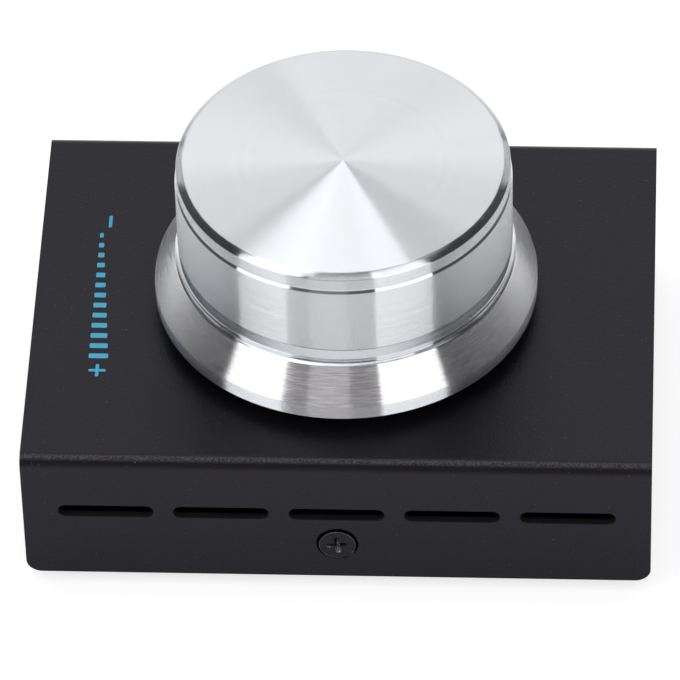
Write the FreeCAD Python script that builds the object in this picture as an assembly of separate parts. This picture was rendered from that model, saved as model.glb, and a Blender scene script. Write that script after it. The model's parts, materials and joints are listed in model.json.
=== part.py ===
"""Desktop volume knob with a USB socket: a turned aluminium knob on a folded sheet-metal box.

Millimetres. X runs along the box's long side, Y away from the user's front flange, Z up.
The origin is the centre of the footprint, on the surface that the rubber feet stand on.
"""
import FreeCAD, Part
import os
from math import cos, pi, sin, sqrt

V = FreeCAD.Vector
ORIGIN, X_AXIS, Y_AXIS, Z_AXIS = V(0, 0, 0), V(1, 0, 0), V(0, 1, 0), V(0, 0, 1)

# ---------------------------------------------------------------- driving dimensions
# Folded sheet-metal box
BOX_LENGTH = 80.0            # along X, edge to edge of the cover
BOX_DEPTH = 60.0             # along Y, over the two flanges
BOX_HEIGHT = 20.4            # from the flanges' lower edges to the top face
SHEET = 1.0                  # steel sheet of both shells
BEND_INSIDE = 0.6            # inside radius of every fold
SHELL_GAP = 0.1              # clearance between the cover and the base
WALL_INSET = 0.2             # base walls stand this far inside the cover's cut edges
FLANGE_CORNER = 2.0          # rounding of the flanges' lower corners

# Screws that close the box, one in each flange, and the ventilation slots above them
CLOSING_SCREW_RISE = 5.7     # screw axis above the flanges' lower edges
SCREW_DIAMETER = 3.0
CLOSING_HEAD = 5.0           # countersunk head
CLOSING_SCREW_LENGTH = 6.0
CLOSING_CROSS = 2.8          # width of the cross recess
CLOSING_CROSS_DEPTH = 1.3
HEAD_SINK = 0.35             # head face below the flange face
SCREW_TIP = 0.4              # bevel at the end of the closing and grub screws
SLOT_COUNT = 5               # ventilation slots in each flange
SLOT_LENGTH = 12.2
SLOT_HEIGHT = 2.0
SLOT_PITCH = 14.7
SLOT_ABOVE_SCREW = 5.6       # slot centres above the screw axis
TAB_WIDTH = 15.0             # base tab behind each flange, which carries the thread
TAB_BELOW_SLOT = 0.2         # the tab ends this far below the middle slot
TAB_RELIEF = 1.2             # slit beside each tab, so that the fold doesn't tear
COLLAR_WALL = 1.1            # drawn collar round the tab's thread
COLLAR_LENGTH = 1.4

# Rubber feet
FOOT_DIAMETER = 8.0
FOOT_HEIGHT = 2.0
FOOT_INSET = 6.5             # foot centre from the box edges
FOOT_EDGE = 0.5

# Circuit board and what holds it
BOARD_PAST_ENCODER = 22.0    # board edge to the left of the encoder's axis
BOARD_DEPTH = 40.0
BOARD_THICKNESS = 1.6
BOARD_CORNER = 1.5
BOARD_EDGE_GAP = 0.5         # board edge to the wall with the socket
BOARD_HOLE_INSET = 4.0
BOARD_HOLE_PLAY = 0.1        # radial play of a screw in the board
PILLAR_FLATS = 5.5           # hexagonal spacers under the board
PILLAR_SPIGOT = 4.2          # spigot pressed into the base plate
BOARD_SCREW_GRIP = 4.6       # length of thread in the pillar
PAN_HEAD = 5.4
PAN_HEIGHT = 1.7
PAN_CROSS = 3.0
PAN_CROSS_DEPTH = 1.2

# Rotary encoder with a push switch, from the knob down to the board
ENCODER_X = 0.25
ENCODER_Y = 0.75
SHAFT_DIAMETER = 6.0
SHAFT_LENGTH = 20.0          # above the encoder's mounting face
SHAFT_PLAY = 0.05            # radial running fit in the bushing
SHAFT_FLAT_CUT = 1.5         # depth of the flat that the grub screw presses on
SHAFT_FLAT_LENGTH = 10.0
SHAFT_BEVEL = 0.4
BUSHING_WALL = 0.45
BUSHING_LENGTH = 7.0         # above the mounting face
BUSHING_PLAY = 0.15          # radial play in the cover, the frame and the washer
BUSHING_BEVEL = 0.3
NUT_RIM = 1.5                # wall of the nut across its flats
NUT_HEIGHT = 2.0
WASHER_RIM = 0.8             # washer past the nut's flats
WASHER_THICKNESS = 0.5
FRAME_SHEET = 0.4
FRAME_SIDE = 7.2             # width of the frame's side legs
LUG_WIDTH = 2.0              # frame lugs that pass through the board
BUSHING_PLATE = 0.6
COLLAR_STEP = 0.7            # collar that keeps the shaft in, past the shaft
COLLAR_HEIGHT = 0.4
TONGUE_STEP = 1.1            # tongue at the shaft's lower end, inside the shaft
TONGUE_FLAT_CUT = 0.5        # each of its two flats
TONGUE_PLAY = 0.06
ROTOR_RIM = 0.8              # notched rim of the rotor, past the collar
ROTOR_THICKNESS = 1.2
ROTOR_PLAY = 0.1             # above and below the rotor
ROTOR_SIDE_PLAY = 0.3
DETENTS = 20                 # clicks in one turn
DETENT_DEPTH = 0.2
DETENT_START = 0.2           # notches start this far outside the collar
SPRING_SHEET = 0.2
SPRING_PLAY = 0.05           # detent spring in its well
SPRING_NOSE = 0.4
MOULDING_WALL_X = 1.0        # moulding beside the rotor's well
MOULDING_WALL_Y = 1.2
HOUSING_FLOOR = 0.8
PRESS_TRAVEL = 0.5
END_PLAY = 0.1               # between shaft, plunger and dome at rest, and above the collar
PLUNGER_STEP = 0.15          # plunger inside the width of the tongue's flats
PLUNGER_FLANGE_REACH = 1.15
PLUNGER_FLANGE_HEIGHT = 0.4
PLUNGER_PLAY = 0.1           # radial play of the plunger in the housing
PLUNGER_HEADROOM = 0.3       # above its flange
DOME_DIAMETER = 5.8
DOME_CROWN = 2.0             # flat top of the dome
DOME_RISE = 0.7
DOME_SHEET = 0.1
DOME_PLAY = 0.3
SWITCH_FLOOR = 0.8
PIN_WIDTH = 0.8
PIN_THICKNESS = 0.3
PIN_PITCH = 2.5
SWITCH_PIN_PITCH = 5.0
SOLDER_LENGTH = 1.0          # lugs and pins below the board
HOLE_PLAY = 0.2              # play of lugs and pins in the board

# Turned knob; depths are measured down from its top face
KNOB_CLEARANCE = 2.0         # flare above the box
KNOB_HEIGHT = 21.9
BODY_DIAMETER = 43.0         # gripping cylinder
CROWN_STEP = 0.2             # short band above the groove, inside the cylinder
TOP_BEVEL_WIDTH = 0.85       # bevel round the top face
TOP_BEVEL = 0.65
GROOVE_TOP = 2.3
GROOVE_WIDTH = 0.55
GROOVE_DEPTH = 0.35
BODY_END = 12.6              # lower edge of the gripping cylinder
WAIST_STEP = 0.35            # radial step in under the cylinder
WAIST_END = 14.45            # lip of the waist band
PARTING_WIDTH = 0.4          # dark groove under the lip
PARTING_DEPTH = 0.45
LEDGE_END = 15.25
LEDGE_STEP = 0.45            # ledge reaches this far past the cylinder
CONE_START = 15.5
CONE_NOTCH = 0.1
FLARE_REACH = 3.15           # flare past the cylinder
RIM_HEIGHT = 2.3             # straight rim at the foot of the flare
EDGE_BREAK = 0.12            # small bevel on sharp turned edges
RECESS_WALL = 5.65           # rim round the hollow underside
RECESS_GAP = 0.5             # over the bushing when the knob is pressed
BORE_PLAY = 0.02
BORE_END_GAP = 0.6           # above the shaft's end
GRUB_DIAMETER = 3.0
GRUB_LENGTH = 8.0
GRUB_BELOW_END = 4.0         # grub screw axis below the shaft's end
GRUB_WAY = 3.6               # clear way for the key, outside the thread
HEX_KEY = 1.5
HEX_DEPTH = 1.6

# Socket for the cable
USB_WIDTH = 7.7
USB_HEIGHT = 3.95
USB_DEPTH = 9.0
USB_SHEET = 0.3
USB_SHOULDER = 1.5           # height of the straight upper sides
USB_SLOPE = 1.0              # height of the slanted sides below them
USB_LOWER_WIDTH = 6.2
USB_WALL_PLAY = 0.35
USB_BLOCK = 3.2              # plastic block at the closed end
USB_TONGUE_WIDTH = 3.7
USB_TONGUE_THICKNESS = 0.8
USB_TONGUE_SHORT = 1.0       # tongue ends this far inside the mouth
USB_LUG_LENGTH = 1.4
USB_LUG_INSET = 1.2          # rear lugs from the back, front lugs from the board's edge
USB_CONTACTS = 5
USB_CONTACT_PITCH = 0.7
USB_CONTACT_WIDTH = 0.35
USB_CONTACT_THICKNESS = 0.15
USB_CONTACT_SHORT = 0.5      # contacts end this far behind the tongue's tip
USB_TAIL = 1.2

# Parts soldered to the board, placed from the encoder's axis
CHIP_LENGTH, CHIP_WIDTH, CHIP_HEIGHT, CHIP_STANDOFF = 10.3, 7.5, 2.3, 0.2
CHIP_PLACE = (17.0, -10.0)
CHIP_BEVEL = 0.35
DIMPLE_DIAMETER, DIMPLE_DEPTH, DIMPLE_INSET = 0.9, 0.1, 1.3
LEADS_PER_SIDE = 8
LEAD_PITCH = 1.27
LEAD_WIDTH = 0.42
LEAD_THICKNESS = 0.25
LEAD_KNEE = 0.45             # from the chip to the bend
LEAD_SLANT = 0.2
LEAD_REACH = 1.4
CRYSTAL_LENGTH, CRYSTAL_WIDTH, CRYSTAL_HEIGHT = 10.0, 3.8, 3.2
CRYSTAL_BRIM, CRYSTAL_BRIM_REACH = 0.4, 0.5
CRYSTAL_PLACE = (17.0, 9.0)
CAN_DIAMETER, CAN_HEIGHT, CAN_BEVEL = 5.0, 4.4, 0.3
CAN_CRIMP_LEVEL, CAN_CRIMP_WIDTH, CAN_CRIMP_DEPTH = 0.95, 0.5, 0.3
CAN_SEAT, CAN_SEAT_HEIGHT, CAN_SEAT_CORNER = 5.3, 0.9, 0.9
CAN_PLACE = (-14.0, 6.5)
REGULATOR_LENGTH, REGULATOR_WIDTH, REGULATOR_HEIGHT = 6.5, 3.5, 1.6
REGULATOR_TAB, REGULATOR_LEG, REGULATOR_LEG_PITCH = 3.0, 0.7, 2.3
REGULATOR_LEG_REACH, REGULATOR_LEG_THICKNESS = 1.7, 0.3
REGULATOR_PLACE = (-14.0, -6.0)
CHIP_PART_LENGTH, CHIP_PART_WIDTH = 2.0, 1.25
CERAMIC_HEIGHT, RESISTOR_HEIGHT = 1.2, 0.55
CERAMIC_PLACES = [(25.0, 5.5), (25.0, 8.5), (25.0, -5.5), (9.5, 14.5)]
RESISTOR_PLACES = [(-13.0, -12.5), (-9.5, -12.5), (-6.0, -12.5), (-9.5, 13.0), (-6.0, 13.0)]

TOUCH = 0.01                 # reach for picking an edge by its place

# ---------------------------------------------------------------- sizes that follow
bend_outside = BEND_INSIDE + SHEET
bushing_diameter = SHAFT_DIAMETER + 2 * (SHAFT_PLAY + BUSHING_WALL)
bushing_hole = bushing_diameter + 2 * BUSHING_PLAY
nut_flats = bushing_diameter + 2 * NUT_RIM
washer_diameter = nut_flats + 2 * WASHER_RIM
collar_diameter = SHAFT_DIAMETER + 2 * COLLAR_STEP
tongue_diameter = SHAFT_DIAMETER - 2 * TONGUE_STEP
tongue_flats = tongue_diameter - 2 * TONGUE_FLAT_CUT
plunger_diameter = tongue_flats - 2 * PLUNGER_STEP
rotor_diameter = collar_diameter + 2 * ROTOR_RIM
rotor_well = rotor_diameter + 2 * ROTOR_SIDE_PLAY
encoder_width = rotor_well + 2 * MOULDING_WALL_X
encoder_depth = rotor_well + 2 * MOULDING_WALL_Y
switch_base_height = (SWITCH_FLOOR + DOME_RISE + END_PLAY + PLUNGER_FLANGE_HEIGHT
                      + PLUNGER_HEADROOM)
housing_height = (HOUSING_FLOOR + 2 * ROTOR_PLAY + ROTOR_THICKNESS + PRESS_TRAVEL
                  + COLLAR_HEIGHT + END_PLAY)
body_radius = BODY_DIAMETER / 2
flare_radius = body_radius + FLARE_REACH

# ---------------------------------------------------------------- levels and places
z_box = FOOT_HEIGHT                              # underside of the base plate
z_plate = z_box + SHEET                          # upper face of the base plate
z_top = z_box + BOX_HEIGHT                       # outer top face of the cover
z_mount = z_top - SHEET                          # encoder's mounting face
z_frame = z_mount - FRAME_SHEET
z_bushing = z_frame - BUSHING_PLATE
z_housing = z_bushing - housing_height
z_board = z_housing - switch_base_height         # upper face of the board
z_board_low = z_board - BOARD_THICKNESS
z_rotor = z_housing + HOUSING_FLOOR + ROTOR_PLAY
z_dome = z_board + SWITCH_FLOOR
z_plunger = z_dome + DOME_RISE + END_PLAY
z_plunger_end = z_rotor + PRESS_TRAVEL - END_PLAY
z_shaft_end = z_mount + SHAFT_LENGTH
z_grub = z_shaft_end - GRUB_BELOW_END
z_knob = z_top + KNOB_CLEARANCE                  # underside of the flare
z_knob_top = z_knob + KNOB_HEIGHT
z_recess = z_mount + BUSHING_LENGTH + PRESS_TRAVEL + RECESS_GAP
z_closing_screw = z_box + CLOSING_SCREW_RISE
z_slot = z_closing_screw + SLOT_ABOVE_SCREW
y_flange = BOX_DEPTH / 2                         # outer faces of the cover's flanges
y_inside = y_flange - SHEET - SHELL_GAP          # outer faces of the base's tabs
y_shaft_flat = ENCODER_Y + SHAFT_DIAMETER / 2 - SHAFT_FLAT_CUT
x_wall = BOX_LENGTH / 2 - WALL_INSET             # outer faces of the base's walls
x_board_end = x_wall - SHEET - BOARD_EDGE_GAP
x_board_start = ENCODER_X - BOARD_PAST_ENCODER
x_usb_mouth = x_wall - SHELL_GAP
x_usb_back = x_usb_mouth - USB_DEPTH
z_usb_tongue = z_board + USB_HEIGHT / 2          # underside of the contact tongue


# ---------------------------------------------------------------- helpers
def at(x, y, z):
    """A point placed from the encoder's axis."""
    return V(ENCODER_X + x, ENCODER_Y + y, z)


def box(x0, x1, y0, y1, z0, z1):
    return Part.makeBox(x1 - x0, y1 - y0, z1 - z0, V(x0, y0, z0))


def block_at(x, y, length, depth, z0, z1):
    """A box centred on a place measured from the encoder's axis."""
    return Part.makeBox(length, depth, z1 - z0, at(x - length / 2, y - depth / 2, z0))


def cylinder(diameter, base, height, direction=Z_AXIS):
    return Part.makeCylinder(diameter / 2, height, base, direction)


def polygon_face(points):
    return Part.Face(Part.makePolygon(points + [points[0]]))


def hexagon(flats, base, height, direction=Z_AXIS):
    """A hexagonal prism on the given axis."""
    corner = flats / 2 / cos(pi / 6)
    points = [V(corner * cos(k * pi / 3), corner * sin(k * pi / 3), 0) for k in range(6)]
    prism = polygon_face(points).extrude(Z_AXIS * height)
    prism.Placement = FreeCAD.Placement(base, FreeCAD.Rotation(Z_AXIS, direction))
    return prism


def turned(profile, base, direction=Z_AXIS):
    """Revolves a closed (radius, height) outline about its own axis, then places it."""
    solid = polygon_face([V(r, 0, z) for r, z in profile]).revolve(ORIGIN, Z_AXIS, 360)
    solid.Placement = FreeCAD.Placement(base, FreeCAD.Rotation(Z_AXIS, direction))
    return solid


def fuse(shapes):
    first, *others = shapes
    return first.multiFuse(others).removeSplitter() if others else first


def one_solid(shape):
    """The single solid of a sub-part, with no leftover wrapping."""
    solids = shape.removeSplitter().Solids
    if len(solids) != 1:
        raise ValueError("a sub-part came out as %d solids" % len(solids))
    return solids[0]


def edges_where(shape, test):
    return [edge for edge in shape.Edges if test(edge)]


def along(edge, axis):
    if not isinstance(edge.Curve, Part.Line):
        return False
    return abs(abs(edge.Curve.Direction.dot(axis)) - 1) < 1e-6


def folded_channel(half_width, low, high, fold_at_top):
    """U-shaped sheet section as a face in the XZ plane, with rounded folds.

    The web is at the top or at the bottom, and the two legs run to the other level.
    """
    ro, ri, w = bend_outside, BEND_INSIDE, half_width
    web = high if fold_at_top else low
    end = low if fold_at_top else high
    s = -1 if fold_at_top else 1                 # from the web towards the legs' ends
    k = 1 - sqrt(0.5)                            # arc midpoint's distance from the corner

    def side(x_sign, radius, face, level):
        corner = V(x_sign * face, 0, level)
        return (corner + V(0, 0, s * radius),
                corner + V(-x_sign * radius * k, 0, s * radius * k),
                corner + V(-x_sign * radius, 0, 0))

    outer_l, outer_r = side(-1, ro, w, web), side(1, ro, w, web)
    inner_l, inner_r = side(-1, ri, w - SHEET, web + s * SHEET), side(1, ri, w - SHEET, web + s * SHEET)
    ends = [V(-w, 0, end), V(w, 0, end), V(w - SHEET, 0, end), V(-w + SHEET, 0, end)]
    edges = [
        Part.makeLine(ends[0], outer_l[0]), Part.Arc(*outer_l).toShape(),
        Part.makeLine(outer_l[2], outer_r[2]), Part.Arc(*reversed(outer_r)).toShape(),
        Part.makeLine(outer_r[0], ends[1]), Part.makeLine(ends[1], ends[2]),
        Part.makeLine(ends[2], inner_r[0]), Part.Arc(*inner_r).toShape(),
        Part.makeLine(inner_r[2], inner_l[2]), Part.Arc(*reversed(inner_l)).toShape(),
        Part.makeLine(inner_l[0], ends[3]), Part.makeLine(ends[3], ends[0]),
    ]
    return Part.Face(Part.Wire(edges))


def cross_recess(width, depth, face, direction):
    """Tapered cross for a screwdriver, sunk from the screw's face along direction."""
    blade = width / 5
    outline = [V(-width / 2, -blade / 2, 0), V(width / 2, -blade / 2, 0),
               V(blade / 2, -blade / 2, depth), V(-blade / 2, -blade / 2, depth)]
    arm = polygon_face(outline).extrude(Y_AXIS * blade)
    recess = fuse([arm, arm.rotated(ORIGIN, Z_AXIS, 90)])
    recess.Placement = FreeCAD.Placement(face, FreeCAD.Rotation(Z_AXIS, direction))
    return recess


# ---------------------------------------------------------------- box
FLANGES = {"front": (-y_flange, Y_AXIS), "rear": (y_flange, -Y_AXIS)}   # face, inward


def cover_shell():
    """Upper shell: the top face and two flanges, folded from one sheet."""
    section = folded_channel(y_flange, z_box, z_top, fold_at_top=True)
    shell = section.extrude(Y_AXIS * BOX_LENGTH)
    shell.translate(V(0, -BOX_LENGTH / 2, 0))
    shell.rotate(ORIGIN, Z_AXIS, 90)             # the section's width becomes the box's depth
    corners = edges_where(shell, lambda e: along(e, Y_AXIS) and e.BoundBox.ZMax < z_box + TOUCH)
    shell = shell.makeFillet(FLANGE_CORNER, corners)
    cuts = [cylinder(bushing_hole, at(0, 0, z_mount), SHEET)]
    for y_face, inward in FLANGES.values():
        cuts += [vent_slot(k, y_face, inward) for k in range(SLOT_COUNT)]
        cuts.append(countersink(y_face, inward))
    return shell.cut(cuts)


def vent_slot(index, y_face, inward):
    """Round-ended slot through a flange."""
    x_mid = (index - (SLOT_COUNT - 1) / 2) * SLOT_PITCH
    half = (SLOT_LENGTH - SLOT_HEIGHT) / 2
    y_low = min(y_face, (V(0, y_face, 0) + inward * SHEET).y)
    middle = Part.makeBox(2 * half, SHEET, SLOT_HEIGHT,
                          V(x_mid - half, y_low, z_slot - SLOT_HEIGHT / 2))
    ends = [cylinder(SLOT_HEIGHT, V(x_mid + side * half, y_face, z_slot), SHEET, inward)
            for side in (-1, 1)]
    return fuse([middle] + ends)


def countersink(y_face, inward):
    """Cone that the closing screw's head sits in, from the flange's face to the shank."""
    mouth = CLOSING_HEAD / 2 + HEAD_SINK
    shank = SCREW_DIAMETER / 2
    face = V(0, y_face, z_closing_screw)
    return Part.makeCone(mouth, shank, mouth - shank, face, inward)


def base_shell():
    """Lower shell: the base plate, two end walls and two screw tabs, folded from one sheet."""
    z_rim = z_mount - SHELL_GAP
    section = folded_channel(x_wall, z_box, z_rim, fold_at_top=False)
    shell = section.extrude(Y_AXIS * 2 * y_inside)
    shell.translate(V(0, -y_inside, 0))
    corners = edges_where(shell, lambda e: along(e, X_AXIS) and e.BoundBox.ZMin > z_rim - TOUCH)
    shell = shell.makeFillet(BEND_INSIDE + SHEET / 2, corners)   # clear of the cover's folds
    relief_depth = bend_outside + TAB_RELIEF
    relief_half = TAB_WIDTH / 2 + TAB_RELIEF
    notches = [box(-relief_half, relief_half, y, y + relief_depth, z_box, z_plate)
               for y in (-y_inside, y_inside - relief_depth)]
    tab = screw_tab(relief_depth)
    shell = fuse([shell.cut(notches), tab, tab.rotated(ORIGIN, Z_AXIS, 180)])
    cuts = [cylinder(PILLAR_SPIGOT, V(x, y, z_box), SHEET) for x, y in board_holes()]
    cuts += [countersink(y_face, inward) for y_face, inward in FLANGES.values()]
    cuts.append(cylinder(SCREW_DIAMETER, V(0, -y_flange, z_closing_screw), BOX_DEPTH, Y_AXIS))
    cuts.append(usb_outline(USB_WALL_PLAY, x_wall - SHEET, x_wall))
    return shell.cut(cuts)


def screw_tab(reach):
    """Tab folded up from the base plate, with a drawn collar for the thread."""
    z_end = z_slot - SLOT_HEIGHT / 2 - TAB_BELOW_SLOT
    front, ro, ri = -y_inside, bend_outside, BEND_INSIDE
    back = front + reach
    k = 1 - sqrt(0.5)                            # arc midpoint's distance from the corner
    outer = [V(0, front, z_box + ro), V(0, front + ro * k, z_box + ro * k), V(0, front + ro, z_box)]
    inner = [V(0, front + ro, z_plate), V(0, front + SHEET + ri * k, z_plate + ri * k),
             V(0, front + SHEET, z_plate + ri)]
    edges = [
        Part.makeLine(V(0, front, z_end), outer[0]), Part.Arc(*outer).toShape(),
        Part.makeLine(outer[2], V(0, back, z_box)),
        Part.makeLine(V(0, back, z_box), V(0, back, z_plate)),
        Part.makeLine(V(0, back, z_plate), inner[0]), Part.Arc(*inner).toShape(),
        Part.makeLine(inner[2], V(0, front + SHEET, z_end)),
        Part.makeLine(V(0, front + SHEET, z_end), V(0, front, z_end)),
    ]
    tab = Part.Face(Part.Wire(edges)).extrude(X_AXIS * TAB_WIDTH)
    tab.translate(V(-TAB_WIDTH / 2, 0, 0))
    upper = edges_where(tab, lambda e: along(e, Y_AXIS) and e.BoundBox.ZMin > z_end - TOUCH)
    tab = tab.makeFillet(FLANGE_CORNER, upper)
    collar = cylinder(SCREW_DIAMETER + 2 * COLLAR_WALL, V(0, front + SHEET, z_closing_screw),
                      COLLAR_LENGTH, Y_AXIS)
    return fuse([tab, collar])


def closing_screw(y_face, inward):
    """Countersunk screw with a cross recess."""
    head, shank, end, tip = CLOSING_HEAD / 2, SCREW_DIAMETER / 2, CLOSING_SCREW_LENGTH, SCREW_TIP
    profile = [(0, 0), (head, 0), (shank, head - shank), (shank, end - tip),
               (shank - tip, end), (0, end)]
    face = V(0, y_face, z_closing_screw) + inward * HEAD_SINK
    recess = cross_recess(CLOSING_CROSS, CLOSING_CROSS_DEPTH, face, inward)
    return turned(profile, face, inward).cut(recess)


def foot(x_side, y_side):
    """Round rubber foot, bevelled at its lower edge."""
    r, e = FOOT_DIAMETER / 2, FOOT_EDGE
    profile = [(0, 0), (r - e, 0), (r, e), (r, FOOT_HEIGHT), (0, FOOT_HEIGHT)]
    x = x_side * (BOX_LENGTH / 2 - FOOT_INSET)
    y = y_side * (BOX_DEPTH / 2 - FOOT_INSET)
    return turned(profile, V(x, y, 0))


# ---------------------------------------------------------------- board
def board_holes():
    inset = BOARD_HOLE_INSET
    return [(x, y) for x in (x_board_start + inset, x_board_end - inset)
            for y in (-BOARD_DEPTH / 2 + inset, BOARD_DEPTH / 2 - inset)]


def circuit_board():
    board = box(x_board_start, x_board_end, -BOARD_DEPTH / 2, BOARD_DEPTH / 2, z_board_low, z_board)
    board = board.makeFillet(BOARD_CORNER, edges_where(board, lambda e: along(e, Z_AXIS)))
    screw_hole = SCREW_DIAMETER + 2 * BOARD_HOLE_PLAY
    cuts = [cylinder(screw_hole, V(x, y, z_board_low), BOARD_THICKNESS) for x, y in board_holes()]
    cuts += [block_at(x, y, PIN_WIDTH + HOLE_PLAY, PIN_THICKNESS + HOLE_PLAY, z_board_low, z_board)
             for x, y in encoder_pin_places()]
    cuts += [block_at(x, 0, FRAME_SHEET + HOLE_PLAY, LUG_WIDTH + HOLE_PLAY, z_board_low, z_board)
             for x in frame_side_places()]
    return board.cut(cuts)


def board_pillars():
    """Four hexagonal spacers with a through thread, pressed into the base plate by a spigot."""
    pillars = []
    for x, y in board_holes():
        body = hexagon(PILLAR_FLATS, V(x, y, z_plate), z_board_low - z_plate)
        spigot = cylinder(PILLAR_SPIGOT, V(x, y, z_box), SHEET)
        thread = cylinder(SCREW_DIAMETER, V(x, y, z_box), z_board_low - z_box)
        pillars.append(one_solid(fuse([body, spigot]).cut(thread)))
    return Part.makeCompound(pillars)


def board_screws():
    """Four flat-topped screws that hold the board to its pillars."""
    head, shank = PAN_HEAD / 2, SCREW_DIAMETER / 2
    reach = BOARD_THICKNESS + BOARD_SCREW_GRIP
    profile = [(0, PAN_HEIGHT), (head, PAN_HEIGHT), (head, 0), (shank, 0), (shank, -reach), (0, -reach)]
    screws = []
    for x, y in board_holes():
        recess = cross_recess(PAN_CROSS, PAN_CROSS_DEPTH, V(x, y, z_board + PAN_HEIGHT), -Z_AXIS)
        screws.append(one_solid(turned(profile, V(x, y, z_board)).cut(recess)))
    return Part.makeCompound(screws)


def chip_body():
    """Controller chip, with a bevel along one side and a dimple at its first lead."""
    x, y = CHIP_PLACE
    z0 = z_board + CHIP_STANDOFF
    z1 = z0 + CHIP_HEIGHT
    body = block_at(x, y, CHIP_LENGTH, CHIP_WIDTH, z0, z1)
    y_side = ENCODER_Y + y - CHIP_WIDTH / 2
    upper_edge = edges_where(body, lambda e: along(e, X_AXIS) and e.BoundBox.ZMin > z1 - TOUCH
                             and e.BoundBox.YMax < y_side + TOUCH)
    dimple = at(x - CHIP_LENGTH / 2 + DIMPLE_INSET, y - CHIP_WIDTH / 2 + DIMPLE_INSET,
                z1 - DIMPLE_DEPTH)
    return body.makeChamfer(CHIP_BEVEL, upper_edge).cut(cylinder(DIMPLE_DIAMETER, dimple, DIMPLE_DEPTH))


def chip_leads():
    """Gull-wing leads along both long sides."""
    x, y = CHIP_PLACE
    t, reach, knee = LEAD_THICKNESS, LEAD_REACH, LEAD_KNEE
    foot_start = knee + LEAD_SLANT
    z_exit = z_board + CHIP_STANDOFF + CHIP_HEIGHT / 2
    outline = [(0, z_exit), (knee, z_exit), (foot_start, z_board), (reach, z_board),
               (reach, z_board + t), (foot_start + LEAD_SLANT, z_board + t),
               (knee + LEAD_SLANT, z_exit + t), (0, z_exit + t)]
    leads = []
    for side in (-1, 1):
        y_body = y + side * CHIP_WIDTH / 2
        for k in range(LEADS_PER_SIDE):
            x_lead = x + (k - (LEADS_PER_SIDE - 1) / 2) * LEAD_PITCH - LEAD_WIDTH / 2
            points = [at(x_lead, y_body + side * out, z) for out, z in outline]
            leads.append(polygon_face(points).extrude(X_AXIS * LEAD_WIDTH))
    return Part.makeCompound(leads)


def crystal_can():
    """Crystal in a round-ended metal can with a brim."""
    x, y = CRYSTAL_PLACE
    half = (CRYSTAL_LENGTH - CRYSTAL_WIDTH) / 2

    def round_ended(width, height):
        ends = [cylinder(width, at(x + side * half, y, z_board), height) for side in (-1, 1)]
        return [block_at(x, y, 2 * half, width, z_board, z_board + height)] + ends

    return fuse(round_ended(CRYSTAL_WIDTH + 2 * CRYSTAL_BRIM_REACH, CRYSTAL_BRIM)
                + round_ended(CRYSTAL_WIDTH, CRYSTAL_HEIGHT))


def capacitor_seat():
    """Plastic seat under the capacitor, with two cut corners."""
    x, y = CAN_PLACE
    seat = block_at(x, y, CAN_SEAT, CAN_SEAT, z_board, z_board + CAN_SEAT_HEIGHT)
    x_right = ENCODER_X + x + CAN_SEAT / 2
    corners = edges_where(seat, lambda e: along(e, Z_AXIS) and e.BoundBox.XMin > x_right - TOUCH)
    return seat.makeChamfer(CAN_SEAT_CORNER, corners)


def capacitor_can():
    """Aluminium can with a rolled crimp above its seat."""
    r, h, bevel = CAN_DIAMETER / 2, CAN_HEIGHT, CAN_BEVEL
    level, half, depth = CAN_CRIMP_LEVEL, CAN_CRIMP_WIDTH / 2, CAN_CRIMP_DEPTH
    profile = [(0, 0), (r, 0), (r, level - half), (r - depth, level), (r, level + half),
               (r, h - bevel), (r - bevel, h), (0, h)]
    return turned(profile, at(*CAN_PLACE, z_board + CAN_SEAT_HEIGHT))


def voltage_regulator():
    """Moulded body with one wide tab and three legs."""
    x, y = REGULATOR_PLACE
    reach, z_leg = REGULATOR_LEG_REACH, z_board + REGULATOR_LEG_THICKNESS
    away = (REGULATOR_WIDTH + reach) / 2
    body = block_at(x, y, REGULATOR_LENGTH, REGULATOR_WIDTH, z_board, z_board + REGULATOR_HEIGHT)
    tab = block_at(x, y + away, REGULATOR_TAB, reach, z_board, z_leg)
    legs = [block_at(x + k * REGULATOR_LEG_PITCH, y - away, REGULATOR_LEG, reach, z_board, z_leg)
            for k in (-1, 0, 1)]
    return fuse([body, tab] + legs)


def small_parts(places, height):
    """Small rectangular parts, soldered flat."""
    return Part.makeCompound([block_at(x, y, CHIP_PART_LENGTH, CHIP_PART_WIDTH, z_board, z_board + height)
                              for x, y in places])


# ---------------------------------------------------------------- encoder
def encoder_pin_places():
    """Pins from the encoder's axis: three signal pins in front, two switch pins behind."""
    y = (encoder_depth + PIN_THICKNESS) / 2
    signal = [(k * PIN_PITCH, -y) for k in (-1, 0, 1)]
    switch = [(k * SWITCH_PIN_PITCH / 2, y) for k in (-1, 1)]
    return signal + switch


def frame_side_places():
    """The frame's two legs and lugs lie this far left and right of the encoder's axis."""
    x = (encoder_width + FRAME_SHEET) / 2
    return [-x, x]


def switch_base():
    """Lower half of the encoder's moulding, with the well for the snap dome."""
    block = block_at(0, 0, encoder_width, encoder_depth, z_board, z_housing)
    return block.cut(cylinder(DOME_DIAMETER + 2 * DOME_PLAY, at(0, 0, z_dome), z_housing - z_dome))


def encoder_housing():
    """Upper half of the moulding, with the well for the rotor."""
    block = block_at(0, 0, encoder_width, encoder_depth, z_housing, z_bushing)
    well = cylinder(rotor_well, at(0, 0, z_housing + HOUSING_FLOOR), housing_height - HOUSING_FLOOR)
    way = cylinder(plunger_diameter + 2 * PLUNGER_PLAY, at(0, 0, z_housing), HOUSING_FLOOR)
    return block.cut([well, way])


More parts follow.
